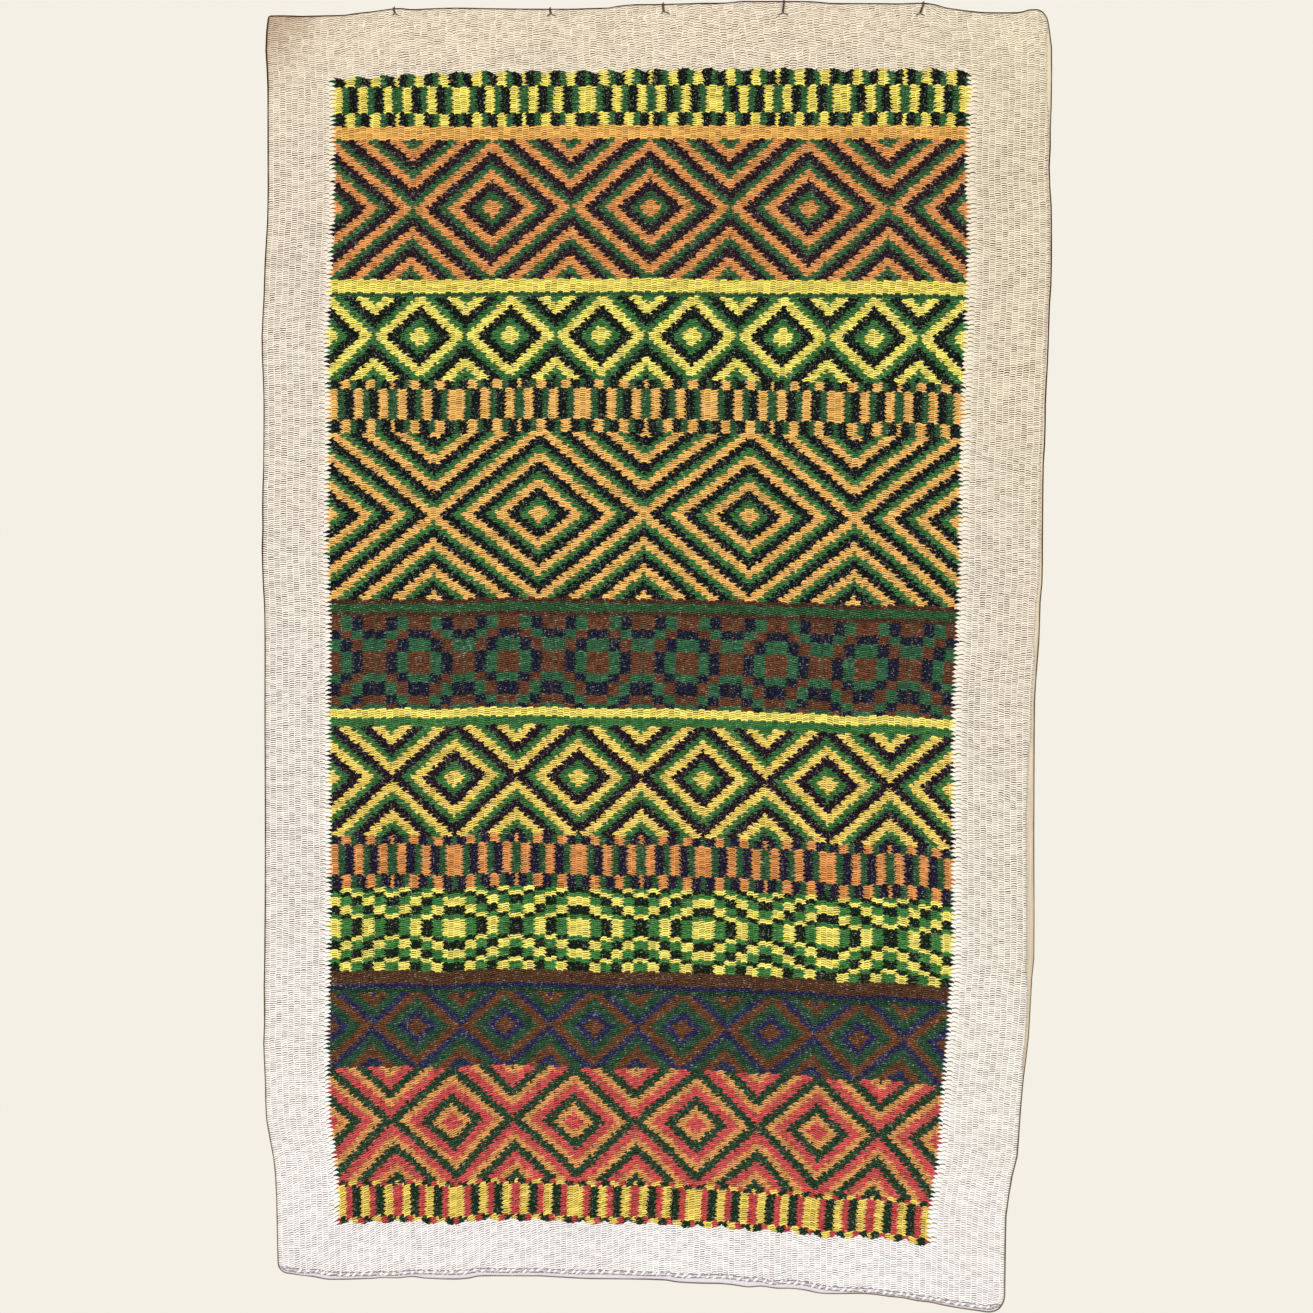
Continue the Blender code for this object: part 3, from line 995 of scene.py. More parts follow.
@dataclass(frozen=True)
class WovenWool:
    """Hand-spun wool weave: cream border, coloured panel, rolled hem and selvedge.

    Reaches down and across are shares of the cloth, those of the panel's sides and
    teeth count warps, and its ends fray by rows.
    """

    name: str = "woven_wool"
    # Painted shade and light on the cream yarn: darker and warmer at the top, lighter at the
    # bottom.
    cream_top_shaded: str = "e9dbc4"
    cream_bottom_lit: str = "f9f6f6"
    cream_right: str = "ebdfc4"
    # Painted shade of the top-left corner, which curls back from the light.
    corner_shade_tone: str = "b9997e"
    right_reach: tuple[float, float] = (0.75, 1.0)
    corner_reach: float = 0.13
    corner_slant: float = 1.5
    corner_shade_share: float = 0.8
    roughness: float = 0.92
    specular: float = 0.04
    sheen: float = 0.02
    bead_height: float = 0.0006
    bead_lift: tuple[float, float] = (0.6, 0.45)
    # Strength of the painted shade between the beads, by place, in the panel and in the comb.
    top_dash_shade: float = 0.78
    side_dash_shade: float = 1.0
    low_dash_shade: float = 0.72
    top_reach: tuple[float, float] = (0.0, 0.14)
    low_reach: tuple[float, float] = (0.62, 1.0)
    dash_shade_warmth: tuple[float, float, float] = (0.94, 1.0, 1.07)
    panel_dash_shade: float = 0.95
    comb_dash_shade: float = 0.9
    comb_start: float = 0.6
    comb_reach: tuple[float, float] = (1.5, 2.5)
    comb_light: float = 0.06
    parting_reach: tuple[float, float] = (0.5, 0.95)
    parting_spread: tuple[float, float] = (0.5, 0.6)
    bead_spread: float = 0.12
    panel_spread: float = 0.5
    blotch: float = 0.14
    blotch_scale: float = 18.0
    fibre: float = 0.25
    fibre_scale: float = 2600.0
    # Painted highlights: pale flecks on the bead tops of the panel.
    speck_highlight: float = 0.25
    speck_scale: float = 750.0
    speck_reach: tuple[float, float] = (0.54, 0.7)
    speck_highlight_tone: Colour = (0.80, 0.82, 0.64, 1.0)
    tooth_reach: float = 0.5
    tooth_spread: tuple[float, float] = (0.3, 0.6)
    side_tooth: float = 0.95
    side_start: float = 0.4
    end_cap: float = 0.4
    end_fray: float = 2.2
    end_scale: float = 420.0
    design: PanelDesign = field(default_factory=PanelDesign)
    grain: WeaveGrain = field(default_factory=WeaveGrain)

    def panel(self, sketch: Sketch, threads: Threads) -> Socket:
        """Return the colour of the panel's yarn at a point, with painted highlights on the bead
        tops.

        Args:
            sketch: Material being made.
            threads: Where the point lies in the weave.

        Returns:
            Colour socket.
        """
        design = self.design
        bands = design.bands
        starts = design.starts()
        row = sketch.math("FLOOR", threads.rows)
        pair = sketch.math("SNAP", row, self.grain.pair_rows)
        down = sketch.math("DIVIDE", sketch.minus(pair, design.first_row),
                           design.rows_high())
        down = sketch.least(sketch.most(down, design.end_keep), 1.0 - design.end_keep)
        least, spread = self.tooth_spread
        tooth = sketch.times(
            sketch.minus(threads.pair_turn(sketch), 0.5),
            sketch.scaled(threads.pair_luck, spread, least), 2.0 * self.tooth_reach)
        across = sketch.plus(threads.across, tooth)

        def by_band(values: list[tuple[float, float, float]]) -> Socket:
            """Return a colour socket that steps through one triple for each band."""
            return sketch.ramp(down, [(s, (*v, 1.0)) for s, v in zip(starts, values)])

        counts = sketch.parts(by_band([design.counts_of(band) for band in bands]))
        figures = sketch.parts(by_band([
            (design.centre_of(band, start), design.half_figure(band) / WARPS,
             design.step_of(band))
            for band, start in zip(bands, starts)]))
        fold = sketch.math("PINGPONG", sketch.minus(across, design.first_warp),
                           sketch.times(figures[1], float(WARPS)))
        away = sketch.math("ABSOLUTE", sketch.minus(down, figures[0]))
        away = sketch.times(away, design.rows_high())
        block = sketch.math("DIVIDE", sketch.most(sketch.minus(away, 0.5), 0.0),
                            design.block_rows / 2.0)
        block = sketch.math("FLOOR", block)
        across_turn = sketch.math("SNAP", sketch.times(fold, counts[0]), figures[2])
        down_turn = sketch.math("SNAP", sketch.times(away, counts[1]), figures[2])
        turn = sketch.plus(sketch.plus(across_turn, down_turn), design.turn_start)
        turn = sketch.math("FRACT", sketch.scaled(block, counts[2], turn))
        line, middle, ground = (
            sketch.ramp(down, [(s, linear(code)) for s, code in zip(starts, codes)])
            for codes in zip(*((b.line, b.middle, b.ground) for b in bands)))
        is_line = sketch.math("LESS_THAN", turn, design.line_share)
        is_middle = sketch.math("LESS_THAN", turn, design.middle_share)
        yarn = sketch.blend(is_line, sketch.blend(is_middle, ground, middle), line)
        # Painted highlights: pale flecks where the beads rise.
        fleck_highlight = sketch.between(
            sketch.cloud(threads.place, self.speck_scale), *self.speck_reach)
        return sketch.blend(
            sketch.times(fleck_highlight, threads.bead, self.speck_highlight), yarn, self.speck_highlight_tone)

    def past_sides(self, sketch: Sketch, threads: Threads) -> Socket:
        """Return how many warps a point lies inside the panel's nearer side.

        Args:
            sketch: Material being made.
            threads: Where the point lies in the weave.

        Returns:
            Warps, below 0 outside the panel.
        """
        return sketch.least(
            sketch.minus(threads.across, self.design.first_warp),
            sketch.minus(self.design.last_warp, threads.across))

    def past_ends(self, sketch: Sketch, threads: Threads) -> Socket:
        """Return how many rows a point lies inside the panel's nearer end.

        Args:
            sketch: Material being made.
            threads: Where the point lies in the weave.

        Returns:
            Rows, below 0 outside the panel.
        """
        row = sketch.scaled(threads.down, float(WEFT_ROWS),
                            sketch.drift(threads.place, self.end_scale, self.end_fray))
        cap = sketch.math("PINGPONG", sketch.minus(threads.across, self.design.first_warp),
                          self.design.bar_warps / 2.0)
        cap = sketch.times(cap, cap, self.end_cap)
        near_corner = sketch.rest_of(
            sketch.between(threads.share, *self.design.corner_reach))
        first = sketch.scaled(
            near_corner, self.design.corner_drop, self.design.first_row)
        ends = sketch.least(sketch.minus(row, first),
                            sketch.minus(self.design.last_row, row))
        return sketch.minus(ends, cap)

    def cream(self, sketch: Sketch, threads: Threads, corner: Socket) -> Socket:
        """Return the border's cream with painted shade, darker and warmer at the top and at the
        curled corner.

        Args:
            sketch: Material being made.
            threads: Where the point lies in the weave.
            corner: Share of the curled corner's painted shade.

        Returns:
            Colour socket.
        """
        # Painted shade and light: darker, warmer cream at the top, whiter cream at the bottom.
        cream = sketch.blend(threads.down, linear(self.cream_top_shaded), linear(self.cream_bottom_lit))
        fade = sketch.times(sketch.between(threads.share, *self.right_reach),
                            sketch.rest_of(threads.down))
        cream = sketch.blend(fade, cream, linear(self.cream_right))
        return sketch.blend(corner, cream, linear(self.corner_shade_tone))

    def dash_shade(self, sketch: Sketch, threads: Threads) -> Socket:
        """Return how strong the painted shade is in the gaps between the border's rows.

        Args:
            sketch: Material being made.
            threads: Where the point lies in the weave.

        Returns:
            Share of the cream that the painted shade takes away.
        """
        bold = sketch.scaled(sketch.between(threads.down, *self.top_reach),
                             self.side_dash_shade - self.top_dash_shade, self.top_dash_shade)
        return sketch.scaled(sketch.between(threads.down, *self.low_reach),
                             self.low_dash_shade - self.side_dash_shade, bold)

    def make(self) -> bpy.types.Material:
        """Return the material of the web.

        Returns:
            The material.
        """
        sketch = Sketch(self.name)
        threads = self.grain.threads(sketch)
        past_sides = self.past_sides(sketch, threads)
        past_ends = self.past_ends(sketch, threads)
        tooth = sketch.times(threads.pair_turn(sketch), self.side_tooth,
                             sketch.plus(threads.pair_luck, 0.5))
        in_ends = sketch.math("GREATER_THAN", past_ends, 0.0)
        inside = sketch.times(
            sketch.math("GREATER_THAN", sketch.plus(past_sides, tooth), self.side_start),
            in_ends)
        outside = sketch.rest_of(inside)

        # Beside the panel's sides the cream strands part in pairs, with painted shadow between
        # the pairs.
        reach = sketch.toward(threads.share, *self.comb_reach)
        aside = sketch.between(sketch.math("ABSOLUTE", past_sides), self.comb_start, reach)
        comb = sketch.times(sketch.rest_of(aside), in_ends, outside)
        parting_shade = sketch.between(threads.pair_turn(sketch), *self.parting_reach)
        least, spread = self.parting_spread
        parting_shade = sketch.times(parting_shade, sketch.scaled(threads.pair_luck, spread, least))
        gap = sketch.toward(comb, threads.gap, parting_shade)

        # Painted shade over the curled-back top-left corner, fading along a slanted line.
        corner = sketch.rest_of(sketch.between(
            sketch.scaled(threads.down, self.corner_slant, threads.share),
            0.0, self.corner_reach))
        corner = sketch.times(corner, self.corner_shade_share)
        colour = sketch.blend(
            inside, self.cream(sketch, threads, corner), self.panel(sketch, threads))

        # Painted shade in the gaps between the beads, a little warm in tone.
        bold = sketch.toward(comb, self.dash_shade(sketch, threads), self.comb_dash_shade)
        depth = sketch.times(gap, sketch.toward(inside, bold, self.panel_dash_shade))
        dark = [sketch.rest_of(sketch.times(depth, part)) for part in self.dash_shade_warmth]
        colour = sketch.shade(colour, *dark)
        spread = sketch.scaled(inside, self.panel_spread - self.bead_spread, self.bead_spread)
        tone = sketch.scaled(sketch.minus(threads.shade_luck, 0.5), spread, 1.0)
        blotch = sketch.plus(
            1.0, sketch.drift(threads.place, self.blotch_scale, self.blotch))
        tone = sketch.times(tone, blotch, sketch.scaled(comb, self.comb_light, 1.0))
        colour = sketch.shade(colour, tone)

        colour, relief = SewnEdges().lay(sketch, threads, colour, corner)
        least, spread = self.bead_lift
        height = sketch.times(threads.bead, sketch.scaled(threads.luck, spread, least))
        fibres = sketch.cloud(threads.place, self.fibre_scale)
        height = sketch.scaled(fibres, self.fibre, height)
        sketch.shader.inputs["Specular IOR Level"].default_value = self.specular
        sketch.shader.inputs["Sheen Weight"].default_value = self.sheen
        return sketch.finish(
            colour, self.roughness, sketch.times(height, relief), self.bead_height)


@dataclass(frozen=True)
class SewnEdges:
    """Smooth turned hem with painted shadows by its row of stitches, rolled selvedge and painted
    shade along the rim.

    Widths and the reaches of lines, bed and rim are millimetres.
    """

    hem_tone: str = "d6d2da"
    # Tone of the painted shadows by the stitches, in their bed and along the selvedge.
    seam_shadow_tone: str = "7a7276"
    roll_top: str = "dccdb1"
    roll_low: str = "cbbca4"
    roll_reach: tuple[float, float] = (0.2, 0.65)
    strand_tone: float = 0.6
    strand_scale: float = 420.0
    strand_stretch: float = 0.08
    hem_blotch: float = 0.12
    hem_scale: float = 140.0
    # Painted shade in the bed where the stitches sit, and painted shadows in broken lines below
    # and above them.
    bed_reach: float = 3.0
    bed_shade_share: float = 0.3
    seam_lines: tuple[float, ...] = (0.1, 2.9)
    seam_reach: tuple[float, float] = (0.25, 0.8)
    seam_wave: float = 2.0
    seam_share: float = 0.9
    pull_scale: float = 170.0
    pull_reach: tuple[float, float] = (0.4, 0.5)
    roll_fray: float = 0.9
    # Painted shade line along the inner edge of the rolled selvedge.
    line_reach: tuple[float, float] = (0.3, 1.3)
    line_share: float = 0.3
    # Painted shade along the rounded edge: reach, darkness, width, noise and warmth; paler lower
    # down and wider at the curled corner.
    rim: tuple[float, float] = (0.6, 1.5)
    rim_shade: tuple[float, float] = (0.55, 1.0)
    rim_width: tuple[float, float] = (0.6, 1.0)
    rim_scale: float = 40.0
    rim_shade_warmth: tuple[float, float, float] = (0.93, 1.0, 1.1)
    pale_slant: float = 0.3
    pale_reach: tuple[float, float] = (0.62, 0.9)
    pale_share: float = 0.2
    corner_rim_shade: float = 0.9
    smooth: float = 0.85

    def lay(self, sketch: Sketch, threads: Threads, colour: Socket,
            corner: Socket) -> tuple[Socket, Socket]:
        """Finish the hem and the selvedge, and paint the shadows by the stitches and the shade
        along the rim.

        Args:
            sketch: Material being made.
            threads: Where the point lies in the weave.
            colour: Colour of the weave.
            corner: Share of the curled corner's tone.

        Returns:
            Colour, and the share of the weave's relief that is left.
        """
        width = 2.0 * FORM.right[-1].reach
        height = -FORM.bottom[-1].reach
        share, down = threads.share, threads.down
        to_left = sketch.times(share, width)
        to_right = sketch.times(sketch.rest_of(share), width)
        to_top = sketch.times(down, height)
        to_hem = sketch.times(sketch.rest_of(down), height)

        past_hem = sketch.minus(to_hem, HEM.socket(sketch, share))
        is_hem = sketch.math("LESS_THAN", past_hem, 0.0)
        strip = sketch.plus(
            1.0, sketch.drift(threads.place, self.hem_scale, self.hem_blotch))
        colour = sketch.blend(is_hem, colour, sketch.shade(linear(self.hem_tone), strip))
        # Painted shade in the bed of the stitches, just above the hem strip.
        bed_shade = sketch.math("COMPARE", past_hem, self.bed_reach / 2.0, self.bed_reach / 2.0)
        colour = sketch.blend(
            sketch.times(bed_shade, self.bed_shade_share), colour, linear(self.seam_shadow_tone))
        # Painted shadows of the stitches: broken dark lines below and above their row.
        for index, offset in enumerate(self.seam_lines):
            pulled = sketch.cloud(
                sketch.join(share, float(index), 0.0), self.pull_scale, 1.0)
            wave = sketch.scaled(pulled, self.seam_wave, offset - 0.5 * self.seam_wave)
            off = sketch.math("ABSOLUTE", sketch.minus(past_hem, wave))
            seam = sketch.rest_of(sketch.between(off, *self.seam_reach))
            pull = sketch.between(pulled, *self.pull_reach)
            seam = sketch.times(seam, pull, self.seam_share)
            colour = sketch.blend(seam, colour, linear(self.seam_shadow_tone))

        fray = sketch.times(sketch.minus(threads.pair_turn(sketch), 0.5), self.roll_fray)
        past_roll = sketch.minus(
            sketch.plus(to_right, fray), SELVEDGE.socket(sketch, down))
        is_roll = sketch.math("LESS_THAN", past_roll, 0.0)
        roll = sketch.blend(sketch.between(down, *self.roll_reach),
                            linear(self.roll_top), linear(self.roll_low))
        along = sketch.join(share, sketch.times(down, self.strand_stretch), 0.0)
        strand = sketch.plus(
            1.0, sketch.drift(along, self.strand_scale, self.strand_tone))
        colour = sketch.blend(is_roll, colour, sketch.shade(roll, strand))
        # Painted shade line along the inner edge of the rolled selvedge.
        roll_edge_shade = sketch.rest_of(
            sketch.between(sketch.math("ABSOLUTE", past_roll), *self.line_reach))
        colour = sketch.blend(
            sketch.times(roll_edge_shade, self.line_share), colour, linear(self.seam_shadow_tone))

        # Painted shade: a thin dark line along the rounded edge, wider at the curled corner and
        # paler lower down.
        nearest = sketch.least(sketch.least(to_left, to_right),
                               sketch.least(to_top, to_hem))
        uneven = sketch.cloud(threads.place, self.rim_scale)
        least, spread = self.rim_width
        wide = sketch.plus(
            sketch.scaled(uneven, spread, least), sketch.times(corner, self.corner_rim_shade))
        rim = sketch.rest_of(
            sketch.between(sketch.math("DIVIDE", nearest, wide), *self.rim))
        pale = sketch.between(
            sketch.scaled(share, self.pale_slant, down), *self.pale_reach)
        least, spread = self.rim_shade
        weight = sketch.times(
            rim, sketch.least(sketch.scaled(uneven, spread, least), 1.0),
            sketch.rest_of(sketch.times(pale, self.pale_share)))
        dark = [
            sketch.rest_of(sketch.least(sketch.times(weight, part), 1.0))
            for part in self.rim_shade_warmth]
        colour = sketch.shade(colour, *dark)
        relief = sketch.scaled(sketch.most(is_hem, is_roll), -self.smooth, 1.0)
        return colour, relief


@dataclass(frozen=True)
class Yarn:
    """Twisted yarn of two tones with a fine grain."""

    name: str
    light: str
    dark: str
    grain_scale: float
    roughness: float
    relief: float

    def make(self) -> bpy.types.Material:
        """Return the material of the yarn.

        Returns:
            The material.
        """
        sketch = Sketch(self.name)
        grain = sketch.cloud(sketch.object_place(), self.grain_scale, 3.0)
        colour = sketch.blend(grain, linear(self.dark), linear(self.light))
        return sketch.finish(colour, self.roughness, grain, self.relief)


STITCH_YARN = Yarn("stitch_yarn", "fffdfa", "e6dfe2", 1800.0, 0.9, 0.0003)
TIE_YARN = Yarn("brown_thread", "4d3a26", "1a120d", 2200.0, 0.7, 0.00012)


def deselect() -> None:
    """Leave nothing selected."""
    bpy.ops.object.select_all(action="DESELECT")


@dataclass
class WovenCloth:
    """The web: ribs raised on both faces, rounded edges, a rolled hem.

    Mesh rows near the edges are distances from the edge in millimetres, and the flat
    size is in metres.
    """

    name: str = "tapestry_web"
    columns_per_warp: int = 4
    even_rows: int = 64
    edge_rows: tuple[float, ...] = (0.0, 0.9, 2.0, 3.6, 5.6, 9.0, 14.0)
    hem_rows: tuple[float, ...] = (0.0, 0.9, 2.2, 3.6, 4.6, 5.4, 7.0, 10.0, 15.0)
    valley: float = 0.72
    warp_pitch: float = 5.0
    edge_round: float = 2.2
    edge_taper: float = 1.2
    least_share: float = 0.55
    flat_size: tuple[float, float] = (0.628, 1.04)
    flat_area: float = 0.62

    def row_shares(self) -> list[float]:
        """Return the shares down at which the mesh has its rows.

        Returns:
            Shares of the height, from the top.
        """
        height = -FORM.bottom[-1].reach
        top = [reach / height for reach in self.edge_rows]
        hem = [1.0 - reach / height for reach in reversed(self.hem_rows)]
        span = hem[0] - top[-1]
        middle = [top[-1] + span * step / self.even_rows for step in range(1, self.even_rows)]
        return top + middle + hem

    def rib_weight(self, column: int, columns: int, down: float) -> float:
        """Return how thick the web is at a place, from 0 to 1.

        Args:
            column: Number of the mesh column.
            columns: Number of columns in all.
            down: Share of the height.

        Returns:
            0 in the valleys between ribs and 1 on their crests.
        """
        turn = 2.0 * math.pi * column / self.columns_per_warp
        rib = self.valley + (1.0 - self.valley) * (0.5 - 0.5 * math.cos(turn))
        height = -FORM.bottom[-1].reach
        to_hem = (1.0 - down) * height
        to_edge = min(down * height, to_hem)
        to_side = min(column, columns - column) / self.columns_per_warp * self.warp_pitch
        hem_width = HEM.at(column / columns)
        if to_hem < hem_width:
            rib = math.sin(math.pi * to_hem / hem_width)
        round_edge = ease(min(to_edge, to_side) / self.edge_round)
        return rib * round_edge - self.edge_taper * (1.0 - round_edge)

    def build(self) -> bpy.types.Object:
        """Return the web as a thin closed sheet.

        Returns:
            The web's object.
        """
        columns = WARPS * self.columns_per_warp
        downs = self.row_shares()
        deselect()
        bpy.ops.mesh.primitive_grid_add(
            x_subdivisions=columns, y_subdivisions=len(downs) - 1, size=2.0)
        cloth = bpy.context.active_object
        cloth.name = self.name
        mesh = cloth.data
        mesh.name = self.name
        group = cloth.vertex_groups.new(name=RIB_GROUP)
        spots = []
        for vertex in mesh.vertices:
            column = round((vertex.co.x + 1.0) / 2.0 * columns)
            row = round((1.0 - vertex.co.y) / 2.0 * (len(downs) - 1))
            share = column / columns
            spots.append((share, downs[row]))
            weight = self.rib_weight(column, columns, downs[row])
            weight = self.least_share + (1.0 - self.least_share) * weight
            group.add([vertex.index], weight, "REPLACE")
        for vertex, (share, down) in zip(mesh.vertices, spots):
            vertex.co = FORM.point(share, down)
        woven = mesh.uv_layers.active
        woven.name = WEAVE_MAP
        for loop in mesh.loops:
            share, down = spots[loop.vertex_index]
            woven.data[loop.index].uv = (share, down)
        mesh.update()
        thicken = cloth.modifiers.new("thickness", "SOLIDIFY")
        thicken.thickness = FORM.thickness * MM
        thicken.offset = 0.0
        thicken.vertex_group = RIB_GROUP
        thicken.thickness_vertex_group = 0.0
        bpy.ops.object.modifier_apply(modifier=thicken.name)
        bpy.ops.object.shade_smooth()
        return cloth

    def dress(self, cloth: bpy.types.Object, finish: bpy.types.Material) -> None:
        """Give the web its finish and its place in the model.

        Args:
            cloth: The web's object.
            finish: Its material.
        """
        cloth.data.materials.clear()
        cloth.data.materials.append(finish)
        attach(cloth, BODY)
        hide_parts("woven_cloth")


@dataclass
class HemStitches:
    """Short overcast stitches that hold the turned hem, puffed up between pulls.

    Sizes are millimetres and turns are radians.
    """

    pitch: float = 6.3
    height: float = 1.5
    length: float = 4.6
    radius: float = 1.05
    bulge: float = 0.7
    tip: float = 0.25
    swell: float = 0.9
    slant: float = 0.5
    turn_jitter: float = 0.3
    pitch_jitter: float = 0.25
    jitter: float = 0.5
    sizes: tuple[float, float] = (0.7, 1.15)
    steps: int = 6
    inset: float = 14.0
    sink: float = 0.35
    left_z: float = -1000.0
    cloth_height: float = 1028.0
    seed: int = 5
    name: str = "hem_stitches"

    def stitch(self) -> bpy.types.Object:
        """Return one stitch, thick in its middle, lying along X at the origin.

        Returns:
            The stitch, as a mesh.
        """
        curve = bpy.data.curves.new("stitch", "CURVE")
        curve.dimensions = "3D"
        curve.bevel_depth = self.radius * MM
        curve.bevel_resolution = 1
        spline = curve.splines.new("POLY")
        spline.points.add(self.steps)
        for step, point in enumerate(spline.points):
            share = step / self.steps
            swell = math.sin(math.pi * share)
            spot = Vector(((share - 0.5) * self.length, -self.bulge * swell, 0.0))
            point.co = (*(spot * MM), 1.0)
            point.radius = self.tip + self.swell * swell
        curve.use_fill_caps = True
        piece = bpy.data.objects.new("stitch", curve)
        bpy.context.collection.objects.link(piece)
        deselect()
        piece.select_set(True)
        bpy.context.view_layer.objects.active = piece
        bpy.ops.object.convert(target="MESH")
        bpy.ops.object.shade_smooth()
        return bpy.context.active_object

    def build(self, finish: bpy.types.Material) -> bpy.types.Object:
        """Copy the stitch along the hem and join the row into one piece.

        Args:
            finish: Material of the stitches.

        Returns:
            The row of stitches.
        """
        luck = random.Random(self.seed)
        first = self.stitch()
        right = FORM.across_at(1.0, FORM.bottom[-1].reach)
        width = right - FORM.across_at(0.0, self.left_z)
        count = round((width - 2.0 * self.inset) / self.pitch)
        row = []
        for index in range(count):
            step = index + 0.5 + luck.uniform(-self.pitch_jitter, self.pitch_jitter)
            along = self.inset + step * self.pitch
            share = along / width
            rise = HEM.at(share) + self.height + luck.uniform(-self.jitter, self.jitter)
            down = 1.0 - rise / self.cloth_height
            x, z = FORM.place(share, down)
            y = FORM.depth(x, z) - FORM.thickness / 2.0 + self.sink
            copy = first.copy()
            copy.data = first.data.copy()
            bpy.context.collection.objects.link(copy)
            turn = self.slant + luck.uniform(-self.turn_jitter, self.turn_jitter)
            size = luck.uniform(*self.sizes)
            copy.data.transform(
                Matrix.Translation(Vector((x, y, z)) * MM)
                @ Matrix.Rotation(-turn, 4, "Y")
                @ Matrix.Diagonal((size, size, 1.0, 1.0)))
            row.append(copy)
        bpy.data.objects.remove(first)
        deselect()
        for copy in row:
            copy.select_set(True)
        bpy.context.view_layer.objects.active = row[0]
        bpy.ops.object.join()
        stitches = bpy.context.active_object
        stitches.name = self.name
        stitches.data.materials.clear()
        stitches.data.materials.append(finish)
        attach(stitches, BODY)
        return stitches


